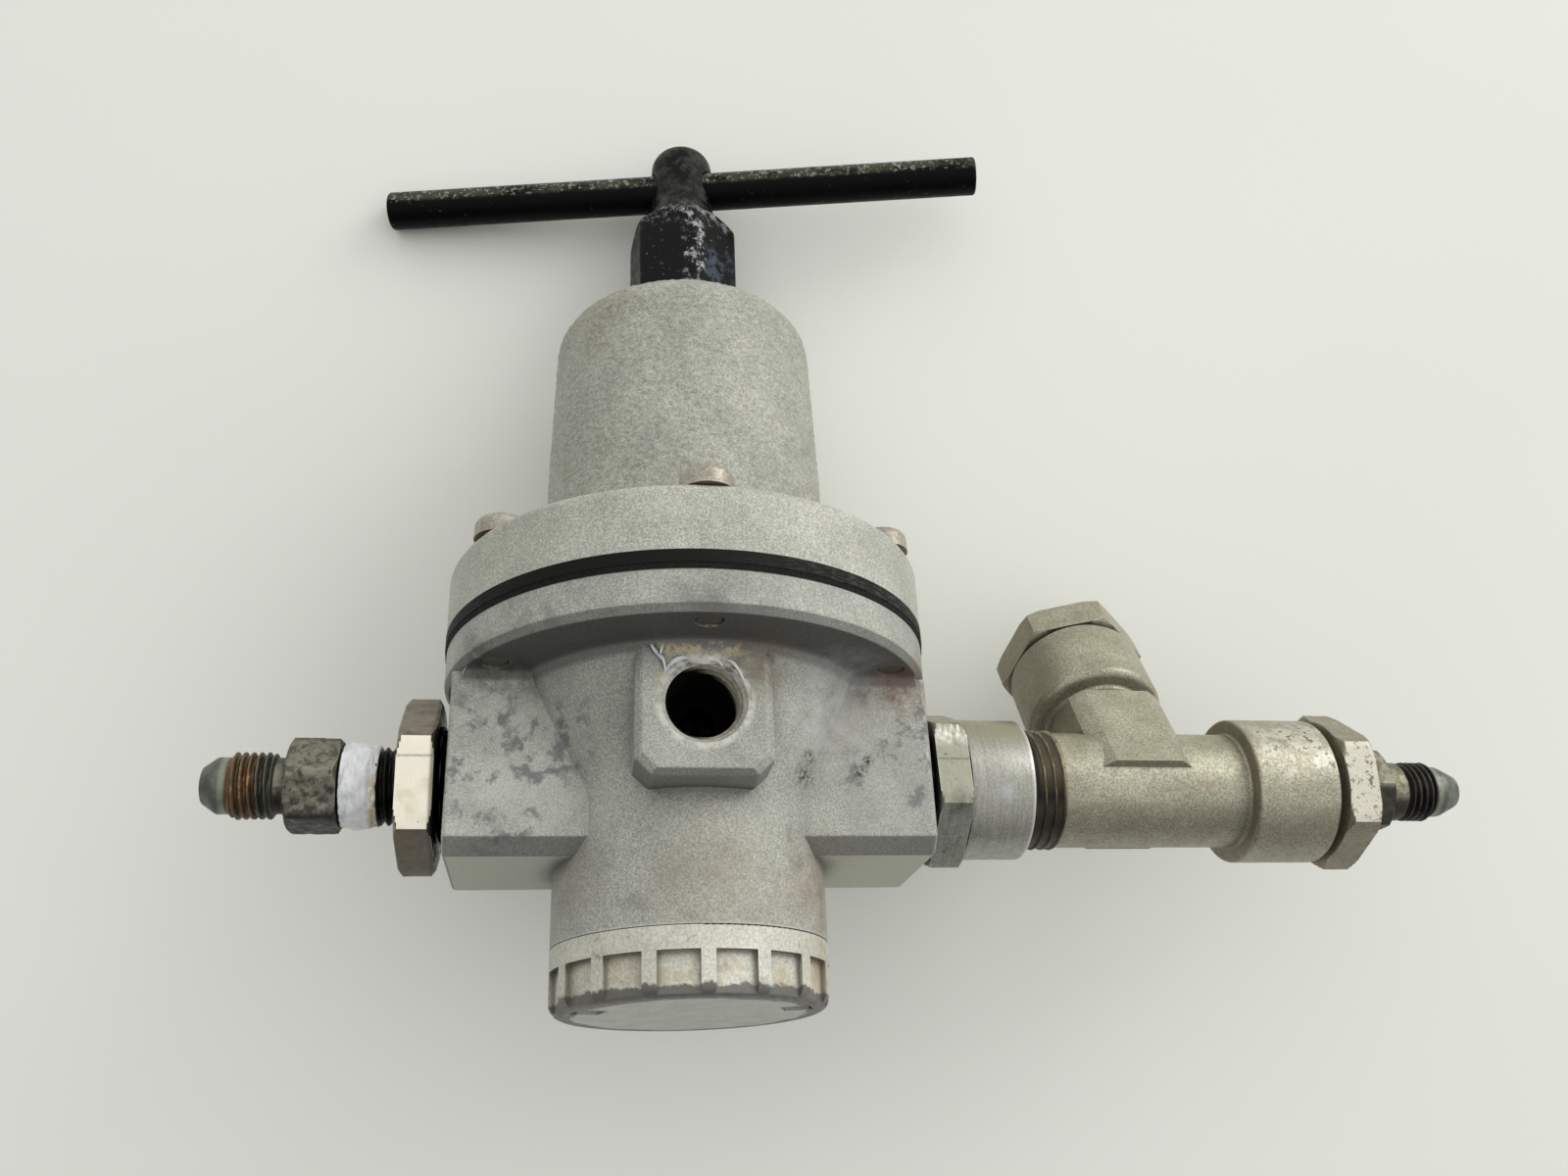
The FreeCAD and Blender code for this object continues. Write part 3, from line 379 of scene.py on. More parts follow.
def black_steel():
    """Black-oxide steel: chipped bright on the hexagon's shoulder and corners, with a painted sheen,
    brown-grey in blotches, on the head's faces that do not look down.
    """
    f = Finish("black_steel", (4, 4, 5), metallic=0.0, Specular_IOR_Level=0.14)
    f.clouds(4, 0.6, 1.6)
    chips = f.patches(1.8, 0.51, 0.58, 6.0, 0.8, shift=2.0)
    below_neck = f.past(2, 124.8, 123)
    # painted sheen, brown-grey in blotches, on the head above the neck
    head_sheen = f.both(f.toward(2, -0.45, 0.1), f.patches(2.6, 0.42, 0.6, 5.0, 0.7, shift=3.0))
    f.over(f.both(head_sheen, f.math("SUBTRACT", 1.0, below_neck)), (62, 60, 53), 0.8)
    shoulder = f.both(below_neck, f.past(2, 116, 122))
    f.over(f.both(shoulder, chips), (176, 176, 178), 0.85)
    corner = f.ramp(f.near((1.6, -11.5, 0), 4.2, 0.4, only=(1, 1, 0)), 0.05, 0.4)
    right = f.near((8, -8, 106), 11, 0.4)
    right = f.both(f.ramp(right, 0.1, 0.45), f.patches(2.4, 0.45, 0.55, 5.0, 0.7, shift=9.0))
    f.over(right, (70, 79, 90), 0.85)
    f.over(f.both(f.both(corner, below_neck), chips), (184, 184, 186), 0.9)
    f.over(f.both(below_neck, f.specks(1.6, 0.13, 7.0)), (128, 126, 126), 0.6)
    f.raise_by(f.noise(1.4, 4.0, 0.65), 0.05)
    f.raise_by(f.noise(5, 2.0), 0.06)
    return f.done(f.mottled(2, 0.3, 0.48, 4.0))


def bar_steel():
    """Black bar with a painted highlight, olive-grey in streaks, along its top, and flecked there."""
    f = Finish("bar_steel", (3, 3, 4), metallic=0.0, Specular_IOR_Level=0.1)
    # painted highlight along the top, in streaks
    top = f.toward(2, -0.3, -0.02)
    sheen_streaks = f.ramp(f.noise(3.0, 5.0, 0.72, stretch=(0.3, 0.3, 1.0)), 0.4, 0.56)
    f.over(f.both(top, sheen_streaks), (74, 73, 60), 0.85)
    f.over(f.both(top, f.specks(1.1, 0.2, 1.0)), (160, 160, 150), 0.8)
    f.over(f.specks(1.4, 0.1, 4.0), (92, 91, 82), 0.6)
    f.over(f.edges(0.6), (78, 76, 66), 0.6)
    f.raise_by(f.noise(1.8, 4.0, 0.65), 0.05)
    return f.done(f.mottled(2, 0.32, 0.5, 4.0))


def plated(name, base, dark, grain, metallic, low, high, dirty_below=None):
    """Nickel or zinc plate over brass or steel, with fine grain, dark pits and brighter corners."""
    f = Finish(name, base, metallic=metallic)
    f.clouds(5, 0.84, 1.1)
    f.grit(grain, 0.8, 1.18)
    f.over(f.patches(1.6, 0.6, 0.7, 6.0, 0.8, shift=3.0), dark, 0.6)
    f.over(f.edges(0.5), (225, 222, 210), 0.45)
    # painted shade in corners
    f.over(f.shade_in_corners(1.6), dark, 0.65)
    if dirty_below:
        f.over(f.past(2, dirty_below, dirty_below - 1), (84, 80, 72), 0.85)
    f.raise_by(f.noise(grain, 3.0, 0.7), grain * 0.07)
    f.raise_by(f.noise(2.6, 3.0), 0.05)
    return f.done(f.mottled(1.5, low, high, 4.0))


def forged(name, base, pits=None, bright_front=False):
    """Blasted and dull-plated forging, pinkish where the plate is thin; painted shade on faces that look left
    and down, in corners and on the stub; a painted reflection on the front facet when bright_front is set,
    and a painted highlight with pits at the spot in pits.
    """
    f = Finish(name, base, metallic=0.6)
    f.clouds(7, 0.86, 1.08)
    f.grit(0.34, 0.7, 1.27)
    f.over(f.patches(3.4, 0.52, 0.66, 5.0, 0.7, shift=3.0), (148, 134, 112), 0.4)
    f.over(f.both(f.toward(2, 0.2, 0.8), f.patches(4, 0.35, 0.6, 4.0, shift=6.0)), (142, 138, 110), 0.5)
    # painted shade on faces that look left, toward -X
    f.over(f.toward(0, -0.55, -0.9), (128, 116, 98), 0.6)
    if bright_front:
        # painted reflection: the front facet bright; the specks on it are pits
        front = f.toward(1, -0.8, -0.93)
        f.over(front, (222, 218, 204), 0.8)
        f.over(f.both(front, f.specks(1.3, 0.2, 2.0)), (116, 102, 90), 0.85)
    f.over(f.edges(0.5), (214, 208, 192), 0.4)
    stub = f.past(0, 65.5, 65.2)
    f.over(stub, (66, 59, 44), 0.97)
    # painted shade: black on the stub's lower half and next to the adapter's collar
    f.over(f.both(stub, f.past(2, 1, -5)), (9, 8, 6), 0.97)
    f.over(f.both(stub, f.past(0, 61.2, 60.6)), (8, 7, 6), 0.9)
    # painted shade on faces that look down
    painted_underside_shade(f, (104, 96, 84), 0.3)
    # painted shade in corners
    f.over(f.shade_in_corners(1.1, 0.4, 0.9), (58, 50, 40), 0.8)
    if pits:
        spot, reach = pits
        # painted highlight at the given spot, with dark pits in it
        highlight_patch = f.ramp(f.near(spot, reach, 0.3), 0.1, 0.5)
        f.over(highlight_patch, (222, 218, 204), 0.6)
        f.over(f.both(highlight_patch, f.specks(1.2, 0.21, 8.0)), (98, 82, 70), 0.9)
    f.over(f.specks(1.4, 0.03, 1.0), (82, 70, 58), 0.7)
    f.raise_by(f.noise(0.5, 3.0, 0.7), 0.045)
    return f.done(f.mottled(1.2, 0.34, 0.52, 4.0))


def bright_nickel():
    """Smooth nickel plate: a painted reflection on the front facet, which is pitted and scratched; painted
    shade on facets that look down, at the hexagon's inner end, in corners and black on the tail; the rest
    browned.
    """
    f = Finish("bright_nickel", (134, 125, 112), metallic=0.65)
    f.clouds(4, 0.7, 1.15)
    f.over(f.patches(2.6, 0.52, 0.66, 5.0, 0.7, shift=4.0), (92, 70, 54), 0.5)
    front = f.toward(1, -0.8, -0.93)
    # painted shade on facets that look down
    f.over(f.toward(2, -0.3, -0.7), (78, 72, 60), 0.8)
    # painted reflection: bright front facet
    f.over(front, (252, 247, 230), 0.98)
    f.over(f.both(front, f.patches(4, 0.5, 0.7, 3.0, shift=1.0)), (214, 196, 160), 0.4)
    f.over(f.both(front, f.specks(0.9, 0.09, 2.0)), (70, 56, 42), 0.85)
    scratch = f.both(f.near((0, 0, 1.2), 0.35, 0.3, only=(0, 0, 1)), front)
    f.over(scratch, (40, 34, 28), 0.95)
    # painted shadow at the hexagon's inner end, by the body
    f.over(f.past(0, -43.2, -42.4), (44, 38, 30), 0.75)
    f.over(f.edges(0.35), (236, 232, 218), 0.5)
    # painted shade: black on the thread's tail inside the port
    outside = f.past(0, -42.3, -42.05)
    # painted shade in corners
    f.over(f.shade_in_corners(1.2), (30, 25, 20), 0.7)
    f.over(outside, (8, 7, 6), 0.97)
    f.raise_by(f.noise(1.6, 3.0), 0.025)
    return f.done(f.mottled(1.4, 0.2, 0.36, 4.0))


def machined(name, base, roughness):
    """Turned metal with fine lines round the upright axis and light stains."""
    f = Finish(name, base, metallic=0.9)
    lines = f.noise(0.3, 2.0, stretch=(0.04, 0.04, 1.0))
    f.shade(lines, 0.35, 0.65, 0.8, 1.14)
    f.clouds(4, 0.84, 1.08)
    f.over(f.patches(1.2, 0.62, 0.72, 5.0, 0.75, shift=8.0), (84, 78, 68), 0.5)
    f.over(f.edges(0.4), (226, 226, 222), 0.6)
    # painted shade in corners
    f.over(f.shade_in_corners(1.4), (38, 34, 30), 0.7)
    f.raise_by(lines, 0.012)
    return f.done(f.mottled(2, *roughness))


def turned_aluminium():
    """Adapter: turned collar, and a hexagon whose front facet is dull and chewed."""
    f = Finish("turned_aluminium", (166, 166, 158), metallic=0.7)
    lines = f.noise(0.32, 2.0, stretch=(1.0, 0.04, 0.04))
    f.shade(lines, 0.35, 0.65, 0.9, 1.06)
    f.grit(0.35, 0.84, 1.12)
    f.over(f.toward(2, 0.2, 0.75), (158, 151, 124), 0.8)
    hexagon = f.past(0, 48.1, 47.6)
    dull = f.both(hexagon, f.toward(1, -0.8, -0.95))
    f.over(dull, (160, 160, 142), 0.85)
    f.over(f.both(hexagon, f.patches(1.1, 0.56, 0.66, 5.0, 0.75, shift=8.0)), (74, 72, 66), 0.6)
    top_edge = f.near((0, -12.9, 6.2), 2.6, 0.5, only=(0, 1, 1))
    f.over(f.both(hexagon, top_edge), (244, 241, 230), 0.95)
    f.over(f.both(hexagon, f.near((0, 0, 1.8), 0.4, 0.3, only=(0, 0, 1))), (52, 50, 46), 0.8)
    f.stains(((45.5, -12.5, -6), 4, 0.8, (42, 42, 38), 0.85))
    lip_x = span("outlet_adapter", 0)[1] / MM
    lip = f.past(0, lip_x - 0.8, lip_x - 0.3)
    f.over(lip, (226, 226, 220), 0.6)
    f.stains(((54, -12, -4), 2.4, 0.9, (216, 222, 234), 0.5))
    f.over(f.edges(0.4), (222, 222, 216), 0.6)
    # painted shade in corners
    f.over(f.shade_in_corners(1.2), (34, 31, 27), 0.75)
    # painted shade: black on the thread's tail inside the port
    f.over(f.past(0, 41.95, 41.8), (8, 7, 6), 0.97)
    f.raise_by(lines, 0.014)
    return f.done(f.mottled(2, 0.3, 0.46))


def dirty_thread(name, crest, root, crest_r):
    """Oily pipe thread, black in its grooves, paler along its crests, with painted shade black underneath."""
    f = Finish(name, crest, metallic=0.4)
    f.clouds(2.4, 0.6, 1.25)
    f.over(f.patches(1.4, 0.52, 0.64, 5.0, 0.75, shift=3.0), root, 0.6)
    f.over(f.ring(PORT, ROUND_X, crest_r, crest_r - 0.1), root, 0.98)
    # painted shade: black underneath
    f.over(f.past(2, -1, -7), (12, 11, 9), 0.8)
    f.raise_by(f.noise(0.6, 3.0), 0.04)
    return f.done(f.mottled(1, 0.34, 0.55))


def gauge_bore():
    """Cut aluminium thread with old sealant in it, with painted shade in its grooves and black painted shade
    further in.
    """
    f = Finish("gauge_bore", (150, 148, 138), metallic=0.2)
    f.over(f.patches(1.2, 0.45, 0.6, 5.0, 0.7), (190, 180, 152), 0.7)
    # painted shade in the thread's grooves
    f.over(f.shade_in_corners(0.8, 0.35, 0.9), (40, 36, 30), 0.9)
    inward = f.math("ADD", f.along(1), f.both(f.along(0), -0.6))
    shadow = f.ramp(inward, -29.6 * MM, -27.0 * MM)
    f.over(shadow, (4, 4, 3), 0.99)
    f.matt(shadow)
    f.raise_by(f.noise(0.5, 3.0), 0.05)
    return f.done(f.mottled(1, 0.4, 0.7))


def rubber():
    f = Finish("black_rubber", (9, 9, 9), metallic=0.0, Specular_IOR_Level=0.2)
    fuzz = f.ramp(f.noise(0.5, 5.0, 0.8, stretch=(0.22, 0.22, 1.5)), 0.5, 0.64)
    to_right = f.ramp(f.along(0), -6 * MM, 34 * MM, 0.05, 0.75)
    f.over(f.both(fuzz, to_right), (104, 102, 94))
    f.raise_by(f.noise(0.4, 4.0, 0.7, stretch=(0.3, 0.3, 1.0)), 0.08)
    return f.done(f.ramp(fuzz, 0, 1, 0.6, 0.9))


def fibre():
    f = Finish("gasket_fibre", (20, 20, 19), metallic=0.0, Specular_IOR_Level=0.2)
    f.shade(f.noise(0.35, 5.0, 0.8, stretch=(0.4, 0.4, 1.0)), 0.3, 0.7, 0.4, 2.2)
    f.raise_by(f.noise(0.35, 4.0, 0.7), 0.04)
    return f.done(f.mottled(0.5, 0.75, 0.9, 2.0))


def tape():
    f = Finish("sealing_tape", (238, 240, 242), metallic=0.0, Sheen_Weight=0.2)
    f.shade(f.noise(1.8, 4.0, 0.6), 0.3, 0.7, 0.86, 1.03)
    inner = span("inlet_tape", 0)[1] / MM
    edge = f.past(0, inner - 1.6, inner - 0.2)
    below = f.past(2, 2, -2)
    f.over(f.both(f.both(edge, below), f.patches(1.4, 0.35, 0.5, 3.0)), (186, 168, 110), 0.8)
    # painted shade, bluish, in folds and corners
    f.over(f.shade_in_corners(1.4), (146, 152, 166), 0.7)
    f.over(f.specks(1.6, 0.03, 2.0), (150, 152, 158), 0.6)
    f.raise_by(f.noise(0.9, 4.0), 0.12)
    return f.done(f.mottled(1, 0.45, 0.65, 2.0))


def flare_steel(name, base, thread, thread_tint, fleck_tint, root_tint, nose_tint, spots):
    """Dull zinc flare fitting: mottled hexagon, stained thread, plain nose; painted light on front faces,
    painted shade on faces that look down, in corners and black on the hidden tail.
    """
    f = Finish(name, base, metallic=0.5)
    f.clouds(3, 0.78, 1.12)
    f.grit(0.5, 0.8, 1.18)
    outward = f.math("ABSOLUTE", f.along(0))

    def out_from(start, end):
        return f.ramp(outward, start * MM, end * MM)

    front = f.toward(1, -0.7, -0.93)
    # painted light: lighter blotches on front faces
    lit_front_patches = f.both(front, f.patches(1.5, 0.42, 0.52, 5.0, 0.7, shift=1.0))
    f.over(lit_front_patches, (172, 170, 150), 0.6)
    f.over(f.patches(2.2, 0.5, 0.7, 6.0, 0.8, shift=3.0), spots, 0.6)
    # painted shade on faces that look down
    painted_underside_shade(f, (38, 35, 35), 0.85)
    low, high = thread
    in_thread = f.both(out_from(low - 0.5, low + 0.1), out_from(high + 0.4, high))
    f.over(in_thread, root_tint, 0.92)
    outer = f.both(in_thread, out_from(low + 1.5, low + 3.2))
    blotch = f.patches(2.2, 0.36, 0.52, 5.0, 0.7, shift=1.0)
    f.over(f.both(outer, blotch), thread_tint, 0.95)
    f.over(f.both(f.both(outer, f.specks(1.6, 0.2, 5.0)), f.toward(1, -0.2, -0.7)), fleck_tint, 0.6)
    nose = out_from(high + 0.1, high + 0.5)
    f.over(nose, nose_tint, 0.9)
    f.over(f.both(nose, f.patches(2.5, 0.45, 0.6, 4.0, shift=7.0)), (70, 76, 68), 0.5)
    f.over(f.both(nose, out_from(high + 1.6, high + 0.9)), (166, 170, 150), 0.5)
    f.over(f.edges(0.4), (186, 182, 170), 0.4)
    # painted shade in corners
    f.over(f.shade_in_corners(1.5), (30, 27, 22), 0.75)
    # painted shade: black on the hidden pipe-thread tail
    tail = out_from(low - 10.6, low - 10.9)
    f.over(tail, (9, 9, 9), 0.95)
    f.raise_by(f.noise(0.8, 4.0, 0.7), 0.06)
    return f.done(f.mottled(1.4, 0.34, 0.6, 4.0))


RUN_COLLAR_SPOT = (110, -11, 5)
INLET_THREAD = (68.7, 75.8)
OUTLET_THREAD = (135.8, 141.3)
FINISHES = {
    "cast_body": cast_body(),
    "cast_bonnet": cast_bonnet(),
    "cap_metal": cap_metal(),
    "cap_disc": cap_disc(),
    "zinc_screw": plated("zinc_screw", (172, 166, 152), (112, 100, 84), 0.5, 0.5, 0.36, 0.52, 18),
    "black_rubber": rubber(),
    "gasket_fibre": fibre(),
    "black_steel": black_steel(),
    "brass": plated("brass", (206, 170, 98), (96, 70, 34), 0.4, 0.95, 0.2, 0.4),
    "bright_nickel": bright_nickel(),
    "zinc_flare": flare_steel("zinc_flare", (90, 87, 77), INLET_THREAD, (112, 82, 52), (174, 129, 84),
                              (66, 68, 58), (104, 110, 102), (60, 54, 50)),
    "sealing_tape": tape(),
    "turned_aluminium": turned_aluminium(),
    "dull_nickel": forged("dull_nickel", (174, 171, 152), (RUN_COLLAR_SPOT, 13)),
    "dark_flare": flare_steel("dark_flare", (118, 114, 92), OUTLET_THREAD, (22, 20, 18), (40, 37, 34),
                              (13, 12, 11), (112, 116, 108), (84, 78, 60)),
    "plain_steel": machined("plain_steel", (168, 168, 168), (0.26, 0.42)),
    "spring_steel": machined("spring_steel", (120, 121, 124), (0.3, 0.5)),
}
# forged nickel with a painted reflection on its front facet
BUSHING_FINISH = forged("dull_nickel_lit_front", (158, 152, 134), bright_front=True)
THREAD_FINISH = dirty_thread("tee_thread", (158, 148, 120), (40, 35, 26), 10.5)
BAR_FINISH = bar_steel()
BORE_FINISH = gauge_bore()

for part in frame["record"]["subparts"]:
    slots = nodes[part["node"]].data.materials
    slots.clear()
    slots.append(FINISHES[part["material_slot"]])
nodes["t_bar"].data.materials[0] = BAR_FINISH


# --- mesh helpers -------------------------------------------------------------------------
FLARE_PITCH = 25.4 * MM / 20
SMALL_PIPE_PITCH = 25.4 * MM / 18
LARGE_PIPE_PITCH = 25.4 * MM / 14
SMALL_HEX = 9.0 / 16 * 25.4 * MM
LARGE_HEX = 25.4 * MM
FLARE_R = 7.0 / 16 * 25.4 * MM / 2
FLARE_BORE_R = 2.4 * MM
SMALL_PIPE_R = 6.6 * MM
PIPE_R = 10.4 * MM


def rounded(points, steps=4):
    """Closed outline of (x, r) points; a third number rounds that corner with an arc."""
    made = []
    for i, point in enumerate(points):
        here = Vector(point[:2])
        if len(point) < 3:
            made.append(here)
            continue
        back = (Vector(points[i - 1][:2]) - here).normalized()
        ahead = (Vector(points[(i + 1) % len(points)][:2]) - here).normalized()
        half = back.angle(ahead) / 2
        centre_spot = here + (back + ahead).normalized() * (point[2] / math.sin(half))
        start = here + back * (point[2] / math.tan(half)) - centre_spot
        end = here + ahead * (point[2] / math.tan(half)) - centre_spot
        sweep = start.angle(end)
        for k in range(steps + 1):
            t = k / steps
            arm = start * math.sin((1 - t) * sweep) + end * math.sin(t * sweep)
            made.append(centre_spot + arm / math.sin(sweep))
    return made


def divided(points, spans):
    """Closed outline whose stretches inside (low, high, step, least r) spans are cut into short steps."""
    made = []
    for i, here in enumerate(points):
        made.append(here)
        after = points[(i + 1) % len(points)]
        for low, high, step, least in spans:
            inside = min(here.x, after.x) >= low - 1e-7 and max(here.x, after.x) <= high + 1e-7
            if inside and (after - here).length > step and min(here.y, after.y) >= least:
                count = math.ceil((after - here).length / step)
                made += [here.lerp(after, k / count) for k in range(1, count)]
                break
    return made


def groove(x, angle, pitch, flat=0.12):
    """0 on a right-hand thread's crest and 1 in its root."""
    phase = (x / pitch - angle / math.tau) % 1.0
    slope = 1 - abs(2 * phase - 1)
    return min(max((slope - flat) / (1 - 2 * flat), 0.0), 1.0)


def fade(x, low, high, run):
    """0 outside low..high, 1 well inside."""
    return min(max(min(x - low, high - x) / run, 0.0), 1.0)


def hexagon_radius(angle, flats):
    """Distance to a hexagon's side, its first corner at angle 0, its corners very slightly blunt."""
    across = flats / 2 / math.cos((angle + math.pi / 6) % (math.pi / 3) - math.pi / 6)
    return min(across, flats / 2 / math.cos(math.pi / 6) - 0.12 * MM)


def lump(point, size, amount):
    """Smooth random height at a point."""
    return noise.noise(point / size + SEED) * amount


def new_piece(name, vertices, faces, slot_name, sharp, finish=None):
    """A mesh piece that rides on the body, smooth but for edges sharper than the angle."""
    mesh = bpy.data.meshes.new(name)
    mesh.from_pydata(vertices, [], faces)
    mesh.validate()
    tidy = bmesh.new()
    tidy.from_mesh(mesh)
    bmesh.ops.recalc_face_normals(tidy, faces=tidy.faces)
    tidy.to_mesh(mesh)
    tidy.free()
    mesh.shade_smooth()
    mesh.set_sharp_from_angle(angle=math.radians(sharp))
    obj = bpy.data.objects.new(name, mesh)
    bpy.context.scene.collection.objects.link(obj)
    mesh.materials.append(finish or FINISHES[slot_name])
    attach(obj, "body")
    return obj


def lathe(name, slot_name, outline, base, axis, first, shape, wear, stands_for=None, segments=96,
          grain=1.2 * MM, sharp=32.0, finish=None):
    """Solid of revolution from a closed (x, r) outline; shape(x, angle, r) gives the radius its detail."""
    side = axis.cross(first).normalized()
    first = side.cross(axis).normalized()
    vertices = []
    for spot in outline:
        for k in range(segments):
            angle = math.tau * k / segments
            radius = shape(spot.x, angle, spot.y)
            outward = first * math.cos(angle) + side * math.sin(angle)
            point = base + axis * spot.x + outward * radius
            vertices.append(point + outward * (lump(point, grain, wear) + lump(point, grain * 4, wear)))
    rings = len(outline)
    faces = []
    for i in range(rings):
        j = (i + 1) % rings
        for k in range(segments):
            m = (k + 1) % segments
            faces.append((i * segments + k, i * segments + m, j * segments + m, j * segments + k))
    obj = new_piece(name, vertices, faces, slot_name, sharp, finish)
    if stands_for:
        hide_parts(stands_for)
    return obj


def around_x(degrees):
    """Direction in the YZ plane at an angle from the front (-Y) towards +Z."""
    turn = math.radians(degrees)
    return Vector((0, -math.cos(turn), math.sin(turn)))


def hex_outline(low, high, flats, chamfer):
    """Outline of a nut's outside, its corners cut at both ends."""
    corner = flats / math.sqrt(3)
    rise = chamfer * 0.6
    return [(low, corner - chamfer), (low + rise, corner), (high - rise, corner), (high, corner - chamfer)]


def pipe_tail(tail, shoulder, bore_r):
    """Outline of a large male pipe thread, from its end to a hexagon's shoulder."""
    return [(tail, bore_r), (tail, PIPE_R - 0.8 * MM), (tail + 1 * MM, PIPE_R),
            (shoulder - 0.1 * MM, PIPE_R - 0.2 * MM)]


def cut_pipe_tail(outline, tail, hexagon):
    """Outline divided finely enough for a large pipe thread and a hexagon."""
    low, high = hexagon
    return divided(outline, [(tail, low - 0.1 * MM, 0.18 * MM, PIPE_R - 1 * MM),
                             (low, high, 0.16 * MM, PIPE_R)])


# --- bonnet -------------------------------------------------------------------------------
def bonnet_casting():
    """Bonnet with the wrinkled cast skin of its tower, the screw well on top and a vent at the back."""
    low, top = span("bonnet", 2)
    rim = span("bonnet", 0)[1]
    seat = PORT.z + 37.5 * MM
    foot_r, top_r, shoulder = 26.8 * MM, 24.8 * MM, 7.0 * MM
    taper = (foot_r - top_r) / (top - seat)
    well_r, well_floor, insert_r = 12.6 * MM, span("bonnet_insert", 2)[1], 10.45 * MM
    ceiling = well_floor - 3.1 * MM
    outline = rounded([
        (low, rim), (seat, rim, 1.8 * MM), (seat, foot_r, 2.0 * MM),
        (top, top_r + taper * shoulder, shoulder), (top, well_r), (well_floor, well_r),
        (well_floor, insert_r), (ceiling - 5 * MM, insert_r), (ceiling - 5 * MM, 13.4 * MM),
        (ceiling, 14 * MM), (ceiling, 21.4 * MM, 4.0 * MM),
        (seat + 1 * MM, 23.4 * MM), (low + 4.5 * MM, 30 * MM, 1.5 * MM), (low, 30 * MM)], steps=24)
    outline = divided(outline, [(seat, top, 0.36 * MM, well_r - 0.1 * MM)])
    outline = [spot for i, spot in enumerate(outline)
               if spot.y < 24 * MM or spot.x > seat - 2 * MM or i % 3 == 0 or i < 2]
    vent_z = seat + 9 * MM

    def shape(x, angle, radius):
        if radius < 24 * MM or x < seat + 1 * MM:
            return radius
        aside = math.sin(angle) * radius
        gap = math.hypot(aside, x - vent_z) if math.cos(angle) < 0 else 1.0
        return radius - 3.5 * MM * min(max((1.75 * MM - gap) / (0.35 * MM), 0.0), 1.0)

    casting = lathe("bonnet_casting", "cast_bonnet", outline, Vector(), UP, FRONT, shape, 0.0, "bonnet",
                    segments=440)
    wrinkle(casting, seat)


def wrinkle(obj, seat):
    """Raise the tower's skin into short level wrinkles, fading out at its foot and in the well."""
    mesh = obj.data
    normals = [v.normal.copy() for v in mesh.vertices]
    for vertex, normal in zip(mesh.vertices, normals):
        spot = vertex.co
        radius = math.hypot(spot.x, spot.y)
        if radius < 13 * MM or normal.dot(spot) < 0 or spot.z < seat:
            continue
        strength = min((spot.z - seat) / (3 * MM), 1.0)
        level = Vector((spot.x / (1.2 * MM), spot.y / (1.2 * MM), spot.z / (0.8 * MM)))
        height = noise.noise(level) + 0.5 * noise.noise(level * 2.1 + SEED) + 0.3 * noise.noise(level * 0.3)
        vertex.co = spot + normal * (height * 0.2 * MM - 0.2 * MM) * strength
    mesh.update()


# --- fittings -----------------------------------------------------------------------------
def flare_adapter(name, node, slot_name, axis, hexagon, thread, first_corner, round_end, bruise):
    """Flare fitting in one piece: pipe thread, hexagon, relief, flare thread and nose, bored through."""
    tail, tip = sorted(abs(x) for x in span(node, 0))
    low, high = hexagon
    start, end = (x * MM for x in thread)
    nose_r, relief_r, round_r = FLARE_R - 0.85 * MM, FLARE_R - 0.9 * MM, FLARE_R - 0.1 * MM
    outline = rounded([
        (tail, FLARE_BORE_R), (tail, SMALL_PIPE_R - 0.6 * MM), (tail + 1 * MM, SMALL_PIPE_R),
        (low, SMALL_PIPE_R), *hex_outline(low, high, SMALL_HEX, 0.9 * MM), (high + 0.05 * MM, round_r),
        (round_end, round_r), (round_end + 0.2 * MM, relief_r), (start - 0.2 * MM, relief_r),
        (start + 0.3 * MM, FLARE_R), (end - 0.5 * MM, FLARE_R), (end, nose_r),
        (end + 2.2 * MM, nose_r, 1.2 * MM), (tip, FLARE_BORE_R + 0.6 * MM, 0.5 * MM), (tip, FLARE_BORE_R)])
    outline = divided(outline, [(tail, low, 0.14 * MM, SMALL_PIPE_R - 1 * MM),
                                (low, high, 0.16 * MM, SMALL_PIPE_R),
                                (high, end, 0.12 * MM, nose_r - 1 * MM)])

    def shape(x, angle, radius):
        if radius <= FLARE_BORE_R:
            return radius
        if x < low:
            return radius - 0.75 * MM * groove(x, angle, SMALL_PIPE_PITCH)
        if x <= high:
            dent = bruise * max(noise.noise(Vector((x, angle * 4 * MM, 0)) / (1.4 * MM)) - 0.25, 0)
            return min(radius, hexagon_radius(angle, SMALL_HEX)) - dent
        depth = 0.66 * MM * fade(x, start - 0.1 * MM, end - 0.1 * MM, 0.6 * MM)
        ragged = 1 + 0.5 * noise.noise(Vector((x * 900, math.cos(angle) * 1.6, math.sin(angle) * 1.6)))
        return radius - depth * ragged * groove(x, angle, FLARE_PITCH, 0.2)

    lathe(name, slot_name, outline, PORT, axis, around_x(first_corner), shape, 0.05 * MM, node)


def hex_bushing(name, node, slot_name, axis, tail, hexagon, flats, first, base=PORT, blind=False,
                finish=None):
    """Hexagon bushing or plug with its pipe thread."""
    low, high = hexagon
    inner = 0.3 * MM if blind else SMALL_PIPE_R + 0.05 * MM
    outline = rounded([*pipe_tail(tail, low, inner), *hex_outline(low, high, flats, 1.2 * MM), (high, inner)])
    outline = cut_pipe_tail(outline, tail, hexagon)

    def shape(x, angle, radius):
        if radius <= inner + 0.1 * MM:
            return radius
        if x < low:
            return radius - 0.9 * MM * groove(x, angle, LARGE_PIPE_PITCH)
        return min(radius, hexagon_radius(angle, flats))

    lathe(name, slot_name, outline, base, axis, first, shape, 0.05 * MM, node, grain=1.6 * MM, finish=finish)


